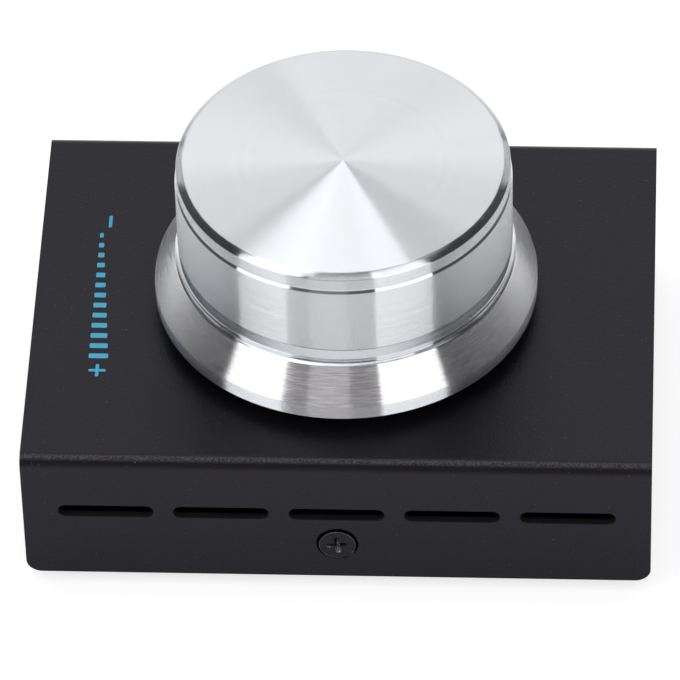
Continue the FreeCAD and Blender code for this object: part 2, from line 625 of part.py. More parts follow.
def encoder_bushing():
    """Die-cast plate and bushing that the shaft turns in."""
    plate = block_at(0, 0, encoder_width, encoder_depth, z_bushing, z_frame)
    z_end = z_mount + BUSHING_LENGTH
    barrel = cylinder(bushing_diameter, at(0, 0, z_bushing), z_end - z_bushing)
    rim = edges_where(barrel, lambda e: e.BoundBox.ZMin > z_end - TOUCH)
    bore = cylinder(SHAFT_DIAMETER + 2 * SHAFT_PLAY, at(0, 0, z_bushing), z_end - z_bushing)
    return fuse([plate, barrel.makeChamfer(BUSHING_BEVEL, rim)]).cut(bore)


def encoder_frame():
    """Steel frame folded over the moulding; its lugs pass through the board."""
    top = block_at(0, 0, encoder_width + 2 * FRAME_SHEET, encoder_depth, z_frame, z_mount)
    pieces = [top.cut(cylinder(bushing_hole, at(0, 0, z_frame), FRAME_SHEET))]
    for x in frame_side_places():
        pieces.append(block_at(x, 0, FRAME_SHEET, FRAME_SIDE, z_board, z_frame))
        pieces.append(block_at(x, 0, FRAME_SHEET, LUG_WIDTH, z_board_low - SOLDER_LENGTH, z_board))
    return fuse(pieces)


def encoder_pins():
    return Part.makeCompound([
        block_at(x, y, PIN_WIDTH, PIN_THICKNESS, z_board_low - SOLDER_LENGTH, z_dome)
        for x, y in encoder_pin_places()])


def detent_spring():
    """Flat ring under the bushing plate, with two noses above the rotor's notches."""
    inner = collar_diameter + 2 * DETENT_START
    z_ring = z_bushing - SPRING_SHEET
    ring = cylinder(rotor_well - 2 * SPRING_PLAY, at(0, 0, z_ring), SPRING_SHEET)
    ring = ring.cut(cylinder(inner, at(0, 0, z_ring), SPRING_SHEET))
    z_nose = z_rotor + ROTOR_THICKNESS + ROTOR_PLAY
    width = (rotor_diameter - inner) / 2
    noses = [block_at(side * (inner + width) / 2, 0, width, SPRING_NOSE, z_nose, z_ring)
             for side in (-1, 1)]
    return fuse([ring] + noses)


def tongue(play, z0, z1):
    """Round bar with two flats on the encoder's axis, grown by the play all round."""
    diameter, flats = tongue_diameter + 2 * play, tongue_flats + 2 * play
    return cylinder(diameter, at(0, 0, z0), z1 - z0).common(block_at(0, 0, diameter, flats, z0, z1))


def encoder_rotor():
    """Disc that the shaft's tongue turns; radial notches on top give the clicks."""
    z_end = z_rotor + ROTOR_THICKNESS
    disc = cylinder(rotor_diameter, at(0, 0, z_rotor), ROTOR_THICKNESS)
    start = collar_diameter / 2 + DETENT_START
    half = pi * start / DETENTS / 2              # notches and teeth are equally wide at the start
    cuts = [tongue(TONGUE_PLAY, z_rotor, z_end)]
    for k in range(DETENTS):
        notch = box(start, rotor_diameter, -half, half, z_end - DETENT_DEPTH, z_end)
        notch.rotate(ORIGIN, Z_AXIS, k * 360 / DETENTS)
        notch.translate(at(0, 0, 0))
        cuts.append(notch)
    return disc.cut(cuts)


def switch_plunger():
    """Stem between the shaft and the dome, with a flange that keeps it in the housing."""
    z_flange = z_plunger + PLUNGER_FLANGE_HEIGHT
    flange = cylinder(plunger_diameter + 2 * PLUNGER_FLANGE_REACH, at(0, 0, z_plunger),
                      PLUNGER_FLANGE_HEIGHT)
    stem = cylinder(plunger_diameter, at(0, 0, z_flange), z_plunger_end - z_flange)
    return fuse([flange, stem])


def switch_dome():
    """Snap dome: a low sheet-metal cone with a flat crown, open downwards."""
    half, crown, rise, t = DOME_DIAMETER / 2, DOME_CROWN / 2, DOME_RISE, DOME_SHEET
    inner_half = half - (half - crown) * t / rise
    profile = [(0, rise), (crown, rise), (half, 0), (inner_half, 0), (crown, rise - t), (0, rise - t)]
    return turned(profile, at(0, 0, z_dome))


def knob_shaft():
    """Steel shaft: tongue, collar, bearing length and a flat for the grub screw."""
    collar_top = z_bushing - END_PLAY
    collar_low = collar_top - COLLAR_HEIGHT
    low = tongue(0, z_plunger_end + END_PLAY, collar_low)
    collar = cylinder(collar_diameter, at(0, 0, collar_low), COLLAR_HEIGHT)
    bar = cylinder(SHAFT_DIAMETER, at(0, 0, collar_top), z_shaft_end - collar_top)
    rim = edges_where(bar, lambda e: e.BoundBox.ZMin > z_shaft_end - TOUCH)
    bar = bar.makeChamfer(SHAFT_BEVEL, rim)
    flat = shaft_flat(0, z_shaft_end)
    return fuse([low, collar, bar.cut(flat)])


def shaft_flat(play, z_end):
    """What the flat takes off the shaft, or leaves in a bore that has this play."""
    r = SHAFT_DIAMETER / 2 + play
    return box(ENCODER_X - r, ENCODER_X + r, y_shaft_flat + play, ENCODER_Y + r,
               z_shaft_end - SHAFT_FLAT_LENGTH, z_end)


def spring_washer():
    ring = cylinder(washer_diameter, at(0, 0, z_top), WASHER_THICKNESS)
    return ring.cut(cylinder(bushing_hole, at(0, 0, z_top), WASHER_THICKNESS))


def bushing_nut():
    z_nut = z_top + WASHER_THICKNESS
    nut = hexagon(nut_flats, at(0, 0, z_nut), NUT_HEIGHT)
    return nut.cut(cylinder(bushing_diameter, at(0, 0, z_nut), NUT_HEIGHT))


# ---------------------------------------------------------------- knob
def knob_outline():
    """Outer half-section of the knob as (radius, depth below the top face)."""
    body, flare, height = body_radius, flare_radius, KNOB_HEIGHT
    crown = body - CROWN_STEP
    parting = body - PARTING_DEPTH
    ledge = body + LEDGE_STEP
    e = EDGE_BREAK
    return [
        (0, 0), (crown - TOP_BEVEL_WIDTH, 0), (crown, TOP_BEVEL), (crown, GROOVE_TOP),
        (body - GROOVE_DEPTH, GROOVE_TOP + GROOVE_WIDTH / 2), (body, GROOVE_TOP + GROOVE_WIDTH),
        (body, BODY_END - e), (body - e, BODY_END), (body - WAIST_STEP, BODY_END + e),
        (body - e / 2, WAIST_END - e), (body, WAIST_END),
        (parting, WAIST_END + e), (parting, WAIST_END + PARTING_WIDTH),
        (ledge, LEDGE_END), (ledge - CONE_NOTCH, (LEDGE_END + CONE_START) / 2),
        (ledge + CONE_NOTCH, CONE_START),
        (flare - e, height - RIM_HEIGHT), (flare, height - RIM_HEIGHT + e),
        (flare, height - e), (flare - e, height), (0, height),
    ]


def knob_body():
    """Knob turned from solid bar, hollow underneath, bored for the flatted shaft."""
    body = turned([(r, -depth) for r, depth in knob_outline()], at(0, 0, z_knob_top))
    recess = cylinder(2 * (flare_radius - RECESS_WALL), at(0, 0, z_knob), z_recess - z_knob)
    bore_end = z_shaft_end + BORE_END_GAP
    bore = cylinder(SHAFT_DIAMETER + 2 * BORE_PLAY, at(0, 0, z_recess), bore_end - z_recess)
    thread = cylinder(GRUB_DIAMETER, V(ENCODER_X, y_shaft_flat, z_grub), GRUB_LENGTH, Y_AXIS)
    way = cylinder(GRUB_WAY, V(ENCODER_X, y_shaft_flat + GRUB_LENGTH, z_grub), body_radius, Y_AXIS)
    return body.cut([recess, bore.cut(shaft_flat(BORE_PLAY, bore_end)), thread, way])


def grub_screw():
    """Headless screw with a hexagonal socket, tightened on the shaft's flat."""
    r, tip, length = GRUB_DIAMETER / 2, SCREW_TIP, GRUB_LENGTH
    profile = [(0, 0), (r - tip, 0), (r, tip), (r, length), (0, length)]
    screw = turned(profile, V(ENCODER_X, y_shaft_flat, z_grub), Y_AXIS)
    key = hexagon(HEX_KEY, V(ENCODER_X, y_shaft_flat + length, z_grub), HEX_DEPTH, -Y_AXIS)
    return screw.cut(key)


# ---------------------------------------------------------------- socket
def usb_outline(grow, x0, x1):
    """The socket's outline, grown all round: straight above, drawn in below."""
    top, bottom = z_board + USB_HEIGHT + grow, z_board - grow
    wide, narrow = USB_WIDTH / 2 + grow, USB_LOWER_WIDTH / 2 + grow
    z_shoulder = z_board + USB_HEIGHT - USB_SHOULDER
    z_narrow = z_shoulder - USB_SLOPE
    points = [(-wide, top), (wide, top), (wide, z_shoulder), (narrow, z_narrow),
              (narrow, bottom), (-narrow, bottom), (-narrow, z_narrow), (-wide, z_shoulder)]
    return polygon_face([V(x0, y, z) for y, z in points]).extrude(X_AXIS * (x1 - x0))


def usb_shell():
    """Folded steel shell, open at the mouth and behind, with two lugs at each side."""
    shell = usb_outline(0, x_usb_back, x_usb_mouth)
    half = USB_TONGUE_WIDTH / 2
    tail_notch = box(x_usb_back, x_usb_back + 2 * USB_CONTACT_THICKNESS, -half, half,
                     z_board, z_board + USB_SHEET)
    shell = shell.cut([usb_outline(-USB_SHEET, x_usb_back, x_usb_mouth), tail_notch])
    lugs = []
    for x in (x_usb_back + USB_LUG_INSET, x_board_end - USB_LUG_INSET - USB_LUG_LENGTH):
        for y0, y1 in ((-USB_WIDTH, -USB_LOWER_WIDTH), (USB_LOWER_WIDTH, USB_WIDTH)):
            lugs.append(box(x, x + USB_LUG_LENGTH, y0 / 2, y1 / 2, z_board, z_board + USB_SHEET))
    return fuse([shell] + lugs)


def usb_insulator():
    """Plastic block at the closed end of the socket, with the contact tongue."""
    x_block = x_usb_back + USB_BLOCK
    block = usb_outline(-USB_SHEET, x_usb_back, x_block)
    half = USB_TONGUE_WIDTH / 2
    shelf = box(x_block, x_usb_mouth - USB_TONGUE_SHORT, -half, half,
                z_usb_tongue, z_usb_tongue + USB_TONGUE_THICKNESS)
    tails = box(x_usb_back, x_usb_back + USB_CONTACT_THICKNESS, -half, half, z_board, z_usb_tongue)
    return fuse([block, shelf]).cut(tails)


def usb_contacts():
    """Contact strips under the tongue, with tails behind the block."""
    t, half = USB_CONTACT_THICKNESS, USB_CONTACT_WIDTH / 2
    x_tip = x_usb_mouth - USB_TONGUE_SHORT - USB_CONTACT_SHORT
    strips = []
    for k in range(USB_CONTACTS):
        y = (k - (USB_CONTACTS - 1) / 2) * USB_CONTACT_PITCH
        blade = box(x_usb_back + USB_BLOCK, x_tip, y - half, y + half, z_usb_tongue - t, z_usb_tongue)
        tail_up = box(x_usb_back, x_usb_back + t, y - half, y + half, z_board, z_usb_tongue)
        tail_out = box(x_usb_back - USB_TAIL, x_usb_back, y - half, y + half, z_board, z_board + t)
        strips += [blade, one_solid(fuse([tail_up, tail_out]))]
    return Part.makeCompound(strips)


# ---------------------------------------------------------------- build
SINGLE_PARTS = {
    "cover_shell": cover_shell,
    "base_shell": base_shell,
    "closing_screw_front": lambda: closing_screw(*FLANGES["front"]),
    "closing_screw_rear": lambda: closing_screw(*FLANGES["rear"]),
    "foot_front_left": lambda: foot(-1, -1),
    "foot_front_right": lambda: foot(1, -1),
    "foot_rear_left": lambda: foot(-1, 1),
    "foot_rear_right": lambda: foot(1, 1),
    "circuit_board": circuit_board,
    "encoder_switch_base": switch_base,
    "encoder_housing": encoder_housing,
    "encoder_bushing": encoder_bushing,
    "encoder_frame": encoder_frame,
    "detent_spring": detent_spring,
    "encoder_rotor": encoder_rotor,
    "switch_plunger": switch_plunger,
    "switch_dome": switch_dome,
    "knob_shaft": knob_shaft,
    "spring_washer": spring_washer,
    "bushing_nut": bushing_nut,
    "knob_body": knob_body,
    "grub_screw": grub_screw,
    "usb_shell": usb_shell,
    "usb_insulator": usb_insulator,
    "controller_chip": chip_body,
    "crystal_can": crystal_can,
    "capacitor_can": capacitor_can,
    "capacitor_seat": capacitor_seat,
    "voltage_regulator": voltage_regulator,
}
GROUPS = {
    "board_pillars": board_pillars,
    "board_screws": board_screws,
    "encoder_pins": encoder_pins,
    "usb_contacts": usb_contacts,
    "chip_leads": chip_leads,
    "ceramic_capacitors": lambda: small_parts(CERAMIC_PLACES, CERAMIC_HEIGHT),
    "resistors": lambda: small_parts(RESISTOR_PLACES, RESISTOR_HEIGHT),
}

os.makedirs("parts", exist_ok=True)
for name, make in SINGLE_PARTS.items():
    one_solid(make()).exportStep("parts/%s.step" % name)
for name, make in GROUPS.items():
    make().exportStep("parts/%s.step" % name)
print("wrote %d sub-parts" % (len(SINGLE_PARTS) + len(GROUPS)))
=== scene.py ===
# %% [markdown]
# # Lesson: a turned knob on a folded box
# The object is a desk volume control: a large aluminium knob on a low box of folded,
# powder-coated steel. The CAD model gives every solid, size and moving body. Blender adds what
# the CAD leaves out: fine edges, tool marks, paint, rubber, and the studio that shows them.
# Loading the CAD model comes first, so that each new piece can be placed by measuring it.

# %% Load the CAD model
import json
import math
import bpy
from mathutils import Matrix, Vector

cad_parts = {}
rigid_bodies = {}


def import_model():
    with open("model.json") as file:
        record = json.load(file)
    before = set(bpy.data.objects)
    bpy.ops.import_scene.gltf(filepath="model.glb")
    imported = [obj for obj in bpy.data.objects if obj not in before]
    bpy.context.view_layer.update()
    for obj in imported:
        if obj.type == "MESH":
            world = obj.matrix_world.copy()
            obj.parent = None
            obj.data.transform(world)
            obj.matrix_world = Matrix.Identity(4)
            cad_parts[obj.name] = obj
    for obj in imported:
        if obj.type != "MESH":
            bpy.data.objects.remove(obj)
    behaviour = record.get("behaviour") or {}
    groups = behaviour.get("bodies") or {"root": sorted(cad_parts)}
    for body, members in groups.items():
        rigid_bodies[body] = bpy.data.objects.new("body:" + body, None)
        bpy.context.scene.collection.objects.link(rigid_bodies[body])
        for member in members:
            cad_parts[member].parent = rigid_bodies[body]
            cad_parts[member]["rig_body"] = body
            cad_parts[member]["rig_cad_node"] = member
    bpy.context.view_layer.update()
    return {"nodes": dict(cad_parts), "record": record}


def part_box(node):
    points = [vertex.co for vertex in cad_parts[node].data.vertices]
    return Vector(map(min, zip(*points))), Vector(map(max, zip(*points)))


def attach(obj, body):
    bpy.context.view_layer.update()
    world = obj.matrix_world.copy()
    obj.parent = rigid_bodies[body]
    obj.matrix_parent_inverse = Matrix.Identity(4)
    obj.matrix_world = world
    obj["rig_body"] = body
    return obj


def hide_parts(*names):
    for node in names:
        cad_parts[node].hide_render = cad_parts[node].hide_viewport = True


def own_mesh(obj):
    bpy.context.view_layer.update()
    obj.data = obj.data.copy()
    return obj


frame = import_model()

nodes = frame["nodes"]

# %% [markdown]
# ## Sizes read from the model
# Metres are Blender's unit and millimetres are the workshop's, so one factor turns the one into
# the other. The knob's axis, its top face and the box's top are measured from the CAD nodes:
# a later change to the CAD then moves the new pieces with it.

# %% Measure the places that new pieces need
MM = 0.001
TURN = 2 * math.pi

knob_low, knob_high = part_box("knob_body")
cover_low, cover_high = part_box("cover_shell")
_, shaft_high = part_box("knob_shaft")
axis_x, axis_y = (knob_low.x + knob_high.x) / 2, (knob_low.y + knob_high.y) / 2
knob_top, knob_foot, box_top = knob_high.z, knob_low.z, cover_high.z
print("knob axis at %.2f, %.2f mm; top face at %.2f mm" % (
    axis_x / MM, axis_y / MM, knob_top / MM))

# %% [markdown]
# ## Camera
# A long lens from about 90 cm away keeps the box's edges almost parallel, as in a catalogue.
# The camera looks down by 45 degrees, stands slightly to the right, and is tilted a little
# about its own line of sight. Three plain rotations say that: turn, tilt and roll.

# %% Set up the camera
CAMERA_PLACE = Vector((39.803, -649.938, 664.038)) * MM
CAMERA_TURN, CAMERA_TILT, CAMERA_ROLL = (math.radians(a) for a in (3.571, 45.084, -1.679))
SENSOR_WIDTH, LENS = 36.0, 374.7
NEAREST, FARTHEST = 0.01, 100

lens = bpy.data.cameras.new("product_lens")
lens.sensor_width, lens.lens = SENSOR_WIDTH, LENS
lens.clip_start, lens.clip_end = NEAREST, FARTHEST
camera = bpy.data.objects.new("camera", lens)
bpy.context.collection.objects.link(camera)
camera.matrix_world = Matrix.Translation(CAMERA_PLACE) @ (
    Matrix.Rotation(CAMERA_TURN, 4, "Z")
    @ Matrix.Rotation(CAMERA_TILT, 4, "X")
    @ Matrix.Rotation(CAMERA_ROLL, 4, "Z"))
bpy.context.scene.camera = camera
bpy.context.scene.view_settings.view_transform = "Standard"
print("camera at", [round(v, 3) for v in camera.location], "lens", lens.lens, "mm")

# %% [markdown]
# ## Working with operators
# Blender's modelling tools act on whatever is selected, so each piece starts by clearing the
# selection. Edges and corners are then picked in code by their place. These small helpers keep
# that tidy. A selection made in code is only taken up outside edit mode, but which kind of
# part it means is set inside it. So a helper that picks goes in, out, and in again.

# %% Helpers for selecting
def clear_selection():
    if bpy.context.object and bpy.context.object.mode != "OBJECT":
        bpy.ops.object.mode_set(mode="OBJECT")
    bpy.ops.object.select_all(action="DESELECT")


def only(piece):
    """Makes one object the selected and active one."""
    clear_selection()
    piece.select_set(True)
    bpy.context.view_layer.objects.active = piece


def edit(piece, parts="VERT"):
    """Opens a piece for editing with nothing selected; parts are VERT, EDGE or FACE."""
    only(piece)
    bpy.ops.object.mode_set(mode="EDIT")
    bpy.ops.mesh.select_mode(type=parts)
    bpy.ops.mesh.select_all(action="DESELECT")


def leave_edit():
    bpy.ops.object.mode_set(mode="OBJECT")


def pick_corners(piece, test):
    """Opens a piece for editing with the corners selected that pass a test; counts them."""
    edit(piece)
    leave_edit()
    for corner in piece.data.vertices:
        corner.select = test(corner.co)
    bpy.ops.object.mode_set(mode="EDIT")
    return sum(corner.select for corner in piece.data.vertices)


def pick_edges(piece, test):
    """The same for edges; the test is given the places of an edge's two ends."""
    edit(piece, "EDGE")
    leave_edit()
    corners = piece.data.vertices
    for line in piece.data.edges:
        line.select = test(*(corners[end].co for end in line.vertices))
    bpy.ops.object.mode_set(mode="EDIT")
    return sum(line.select for line in piece.data.edges)


print("helpers for selecting ready")

# %% [markdown]
# ### Finishing a piece
# Modifiers are applied as soon as they are set, because the finished mesh is what counts. A
# piece's place goes into its mesh, so that its object sits at the origin as a CAD node's does.

# %% Helpers for finishing a piece
def apply_modifiers(piece):
    only(piece)
    for modifier in list(piece.modifiers):
        bpy.ops.object.modifier_apply(modifier=modifier.name)


def settle(piece):
    """Puts the piece's place into its mesh, so that its object sits at the origin."""
    only(piece)
    bpy.ops.object.transform_apply(location=True, rotation=True, scale=True)


def smooth(piece, degrees):
    only(piece)
    bpy.ops.object.shade_smooth_by_angle(angle=math.radians(degrees))


def count(piece):
    """The piece's number of triangles."""
    piece.data.calc_loop_triangles()
    return len(piece.data.loop_triangles)


print("helpers for finishing ready")

# %% [markdown]
# ## Turning a profile
# A knob comes off a lathe, so it is drawn as its lathe profile: one point, extruded from place
# to place down the outline, and then spun round the axis. Spin is the digital lathe. 256 steps
# keep the edge round even in a close view. Doubled points where the spin meets itself are
# merged, and the poles on the axis are closed by the same merge.

# %% Helper: spin a profile into a solid
WELD, SLIVER = 0.002, 0.0005     # millimetres: nearer corners become one, thinner faces go


def turn_profile(name, profile, centre, steps=256, axis=(0, 0, 1), up=(0, 0, 1)):
    """profile is a list of (radius, height) in millimetres; it starts and ends on the axis."""
    up, centre = Vector(up), Vector(centre)
    side = Vector((1, 0, 0)) if abs(up.x) < 0.5 else Vector((0, 1, 0))
    places = [centre + side * (r * MM) + up * (h * MM) for r, h in profile]
    clear_selection()
    bpy.ops.mesh.primitive_plane_add(size=MM, location=places[0])
    piece = bpy.context.object
    piece.name = piece.data.name = name
    settle(piece)
    edit(piece)
    bpy.ops.mesh.select_all(action="SELECT")
    bpy.ops.mesh.merge(type="CENTER")
    for here, there in zip(places, places[1:]):
        bpy.ops.mesh.extrude_region_move(TRANSFORM_OT_translate={"value": there - here})
    bpy.ops.mesh.select_all(action="SELECT")
    bpy.ops.mesh.spin(steps=steps, angle=TURN, center=centre, axis=axis, dupli=False)
    bpy.ops.mesh.select_all(action="SELECT")
    bpy.ops.mesh.remove_doubles(threshold=WELD * MM)
    bpy.ops.mesh.dissolve_degenerate(threshold=SLIVER * MM)
    bpy.ops.mesh.select_all(action="SELECT")
    bpy.ops.mesh.normals_make_consistent(inside=False)
    leave_edit()
    return piece


print("lathe ready")

# %% [markdown]
# ### Breaking the corners
# A turning tool never leaves a razor edge. Its round nose leaves a small arc at each corner of
# the profile, and so does this helper, before the profile is spun. Short sides get a smaller
# arc, so that two arcs never meet.

# %% Helper: round a profile's corners
SAME_PLACE = 1e-6                # two points of a profile that are really one
STRAIGHT = -0.985                # cosine of the angle past which a corner needs no arc


def rounded(profile, radius, segments=3, keep=0.42, crisp=()):
    """Breaks each corner with an arc, except the crisp ones; keep is an arc's share of a side."""
    result = [profile[0]]
    for before, corner, after in zip(profile, profile[1:], profile[2:]):
        a, c, b = Vector(before), Vector(corner), Vector(after)
        if (a - c).length < SAME_PLACE or (b - c).length < SAME_PLACE:
            continue
        to_a, to_b = (a - c).normalized(), (b - c).normalized()
        if to_a.dot(to_b) < STRAIGHT or corner in crisp:
            result.append(corner)
            continue
        cut = min(radius, keep * (a - c).length, keep * (b - c).length)
        start, end = c + to_a * cut, c + to_b * cut
        for k in range(segments + 1):
            t = k / segments
            point = start * (1 - t) ** 2 + c * 2 * t * (1 - t) + end * t ** 2
            result.append((point.x, point.y))
    return result + [profile[-1]]


print("corner rounding ready")

# %% [markdown]
# ## The knob
# The outline runs from the middle of the top face outwards and down: bevel, V groove, long
# gripping cylinder, waist band, dark parting groove, ledge, cone and straight rim. Then it turns
# in under the skirt and up into the hollow, to the boss that is bored for the shaft. Depths are
# below the top face. Only the corner between cone and rim stays crisp.

# %% Turn the knob
KNOB_STEPS = 256
EDGE_RADIUS = 0.07
HOLLOW_RADIUS, HOLLOW_HEIGHT = 19.0, 5.0
BORE_RADIUS, BORE_SPARE = 3.02, 0.6      # the bore goes on a little above the shaft's end
CONE_FOOT = (24.65, -19.8)

foot_depth = (knob_top - knob_foot) / MM
hollow_depth = foot_depth - HOLLOW_HEIGHT
bore_depth = (knob_top - shaft_high.z) / MM - BORE_SPARE

face_rings = [(0, 0), (6.0, 0), (13.0, 0), (19.0, 0), (20.25, 0)]
outer = [
    (20.42, 0), (20.64, -0.14), (21.3, -0.65), (21.3, -2.3), (21.19, -2.49), (21.5, -2.85),
    (21.5, -12.62), (21.41, -12.85), (21.3, -12.95), (21.17, -13.05), (21.40, -14.44),
    (21.57, -14.47), (21.57, -14.62), (21.38, -14.76), (21.05, -14.88), (21.08, -15.16),
    (21.47, -15.0), (21.93, -15.22), (22.03, -15.42),
    CONE_FOOT, (24.65, -21.78), (24.53, -foot_depth),
]
inner = [
    (HOLLOW_RADIUS, -foot_depth), (HOLLOW_RADIUS, -hollow_depth), (BORE_RADIUS, -hollow_depth),
    (BORE_RADIUS, -bore_depth),
]
profile = face_rings[:1] + rounded(face_rings[1:] + outer + inner, EDGE_RADIUS,
                                   crisp=[CONE_FOOT]) + [(0, -bore_depth)]
knob = turn_profile("turned_knob", profile, (axis_x, axis_y, knob_top), KNOB_STEPS)
print("turned knob:", len(profile), "profile points,", count(knob), "triangles")

# %% [markdown]
# ### Flat in the bore, hole for the key
# The shaft has a flat, and the bore keeps a matching one. At the back a grub screw presses on
# it, through a cross hole. Both are boolean operations with simple cutters, the way a second
# machining step would do it.

# %% Helpers for cutting and joining
def boolean(piece, tool, operation):
    modifier = piece.modifiers.new(operation.lower(), "BOOLEAN")
    modifier.operation, modifier.object, modifier.solver = operation, tool, "EXACT"
    apply_modifiers(piece)
    bpy.data.objects.remove(tool)


def flat_faces_win(piece):
    """Large faces keep their own normals, so that only the narrow edge faces look round."""
    weigh = piece.modifiers.new("flat_faces_win", "WEIGHTED_NORMAL")
    weigh.keep_sharp, weigh.weight = True, 100
    apply_modifiers(piece)


print("helpers for cutting ready")

# %% Cut the key hole and fill the bore's flat
KEY_HOLE_RADIUS, THREAD_RADIUS = 1.8, 1.5
DRILL_REACH, DRILL_STEPS = 25, 48
FLAT_KEY = (5.8, 2.4, 10.4)      # width, depth and height of the metal behind the flat
KEY_DEPTH = 4.6                  # its middle, below the shaft's upper end
FLAT_PLAY = 0.02                 # between the shaft's flat and the bore's
KNOB_SMOOTH_ANGLE = 24

grub_low, grub_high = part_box("grub_screw")
grub_z = (grub_low.z + grub_high.z) / 2
flat_y = grub_low.y + FLAT_PLAY * MM


def cross_drill():
    """The thread of the grub screw and the wider way for its key, along Y."""
    thread = (grub_high.y - grub_low.y) / MM
    way = [(0, 0), (THREAD_RADIUS, 0), (THREAD_RADIUS, thread), (KEY_HOLE_RADIUS, thread),
           (KEY_HOLE_RADIUS, DRILL_REACH), (0, DRILL_REACH)]
    return turn_profile("drill", way, (axis_x, grub_low.y, grub_z), DRILL_STEPS,
                        axis=(0, 1, 0), up=(0, 1, 0))


boolean(knob, cross_drill(), "DIFFERENCE")
clear_selection()
bpy.ops.mesh.primitive_cube_add(size=1, location=(
    axis_x, flat_y + FLAT_KEY[1] / 2 * MM, shaft_high.z - KEY_DEPTH * MM))
flat_key = bpy.context.object
flat_key.scale = [side * MM for side in FLAT_KEY]
settle(flat_key)
boolean(flat_key, cross_drill(), "DIFFERENCE")
boolean(knob, flat_key, "UNION")
smooth(knob, KNOB_SMOOTH_ANGLE)
flat_faces_win(knob)
print("knob with its cross hole:", count(knob), "triangles")

# %% [markdown]
# ## Finer edges on the folded sheet
# The CAD shells have the right shape but knife-sharp edges, and real sheet with a coat of paint
# has none: paint rounds every edge and catches a thin line of light there. A copy of the CAD
# mesh is merged and its flat areas dissolved, then a bevel modifier rounds the edges that are
# sharper than 35 degrees. The CAD node itself stays as it is and is only hidden.

# %% Copy a CAD node and soften its edges
COPY_WELD = 0.004                # millimetres
FLAT_WITHIN = 1.0                # degrees between faces that count as one flat area


def copy_node(node, name):
    """A merged copy of a CAD node, with its flat areas dissolved, to be shaped further."""
    piece = nodes[node].copy()
    piece.data = nodes[node].data.copy()
    piece.name = piece.data.name = name
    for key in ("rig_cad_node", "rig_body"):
        if key in piece:
            del piece[key]
    piece.parent = None
    bpy.context.collection.objects.link(piece)
    piece.data.materials.clear()
    edit(piece)
    bpy.ops.mesh.select_all(action="SELECT")
    bpy.ops.mesh.remove_doubles(threshold=COPY_WELD * MM)
    bpy.ops.mesh.dissolve_limited(angle_limit=math.radians(FLAT_WITHIN))
    bpy.ops.mesh.select_all(action="SELECT")
    bpy.ops.mesh.customdata_custom_splitnormals_clear()
    leave_edit()
    return piece


def soften(piece, width, segments=2, limit=35, smooth_angle=40):
    """Rounds a piece's sharp edges; width is the bevel in millimetres."""
    bevel = piece.modifiers.new("edge", "BEVEL")
    bevel.width, bevel.segments = width * MM, segments
    bevel.limit_method, bevel.angle_limit = "ANGLE", math.radians(limit)
    bevel.use_clamp_overlap = True
    apply_modifiers(piece)
    smooth(piece, smooth_angle)
    flat_faces_win(piece)
    return piece


SHEET_EDGE, RUBBER_EDGE = 0.14, 0.15
base = soften(copy_node("base_shell", "painted_base"), SHEET_EDGE)
feet = [soften(copy_node(f"foot_{place}", f"rubber_{place}"), RUBBER_EDGE)
        for place in ("front_left", "front_right", "rear_left", "rear_right")]
for piece in (base, *feet):
    print(piece.name, count(piece), "triangles")

# %% [markdown]
# ### Two screws, level with the sheet
# A countersunk screw in thin sheet rarely sits in the middle of its hole. Here both heads come
# level with the flange, and the hole's mouth reaches up beyond them, which leaves a dark gap
# over each head. Corners are picked by their place and moved: the head along the screw's axis,
# the mouth upwards. A cross recess narrows towards its floor, so the floor is scaled down.
# Last the screw is turned on its own axis, because no two stop at the same angle.

# %% Seat the two screws
MOUTH_SHIFT = (0.1, 0, 0.38)     # how far the hole's mouth sits from the screw's axis
MOUTH_REACH = 3.1                # the mouth's corners lie within this distance of the axis
HEAD_DEPTH = 1.45                # the head with its cross recess
HEAD_BELOW = 0.01                # what is left between the head and the flange's face
HEAD_TRIM = 0.965
RECESS_DEPTH, RECESS_TAPER = 1.3, 0.72
SCREW_TURN = {"front": 7, "rear": -24}
SCREW_EDGE = 0.13
IN_FLOOR, IN_FACE = 0.02, 0.01   # how near a corner lies to the plane that it belongs to

cover = copy_node("cover_shell", "painted_cover")
screws, screw_axis = {}, {}
for place, outwards in (("front", -1), ("rear", 1)):
    screw = screws[place] = copy_node(f"closing_screw_{place}", f"{place}_screw")
    low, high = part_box(f"closing_screw_{place}")
    wall_y = cover_low.y if outwards < 0 else cover_high.y
    head_y = low.y if outwards < 0 else high.y
    axis = Vector(((low.x + high.x) / 2, wall_y, (low.z + high.z) / 2))
    sunk = abs(wall_y - head_y) / MM
    floor_y = head_y - outwards * RECESS_DEPTH * MM
    floor_corners = pick_corners(screw, lambda c: abs(c.y - floor_y) < IN_FLOOR * MM)
    bpy.ops.transform.resize(value=(RECESS_TAPER, 1, RECESS_TAPER), center_override=axis)
    head_corners = pick_corners(screw, lambda c: abs(c.y - head_y) < HEAD_DEPTH * MM)
    bpy.ops.transform.translate(value=(0, outwards * (sunk - HEAD_BELOW) * MM, 0))
    bpy.ops.transform.resize(value=(HEAD_TRIM, 1, HEAD_TRIM), center_override=axis)
    bpy.ops.mesh.select_all(action="SELECT")
    bpy.ops.transform.rotate(value=math.radians(SCREW_TURN[place]), orient_axis="Y",
                             center_override=axis)
    leave_edit()
    soften(screw, SCREW_EDGE, segments=3)
    screw_axis[place] = axis
    mouth_corners = pick_corners(cover, lambda c: abs(c.y - wall_y) < IN_FACE * MM
                                 and (c - axis).length < MOUTH_REACH * MM)
    bpy.ops.transform.translate(value=Vector(MOUTH_SHIFT) * MM)
    leave_edit()
    print(screw.name, "was sunk by %.2f mm; corners:" % sunk,
          floor_corners, head_corners, mouth_corners)
front_screw, rear_screw = screws["front"], screws["rear"]
soften(cover, SHEET_EDGE)
print("cover", count(cover), "triangles, screws", count(front_screw), "each")

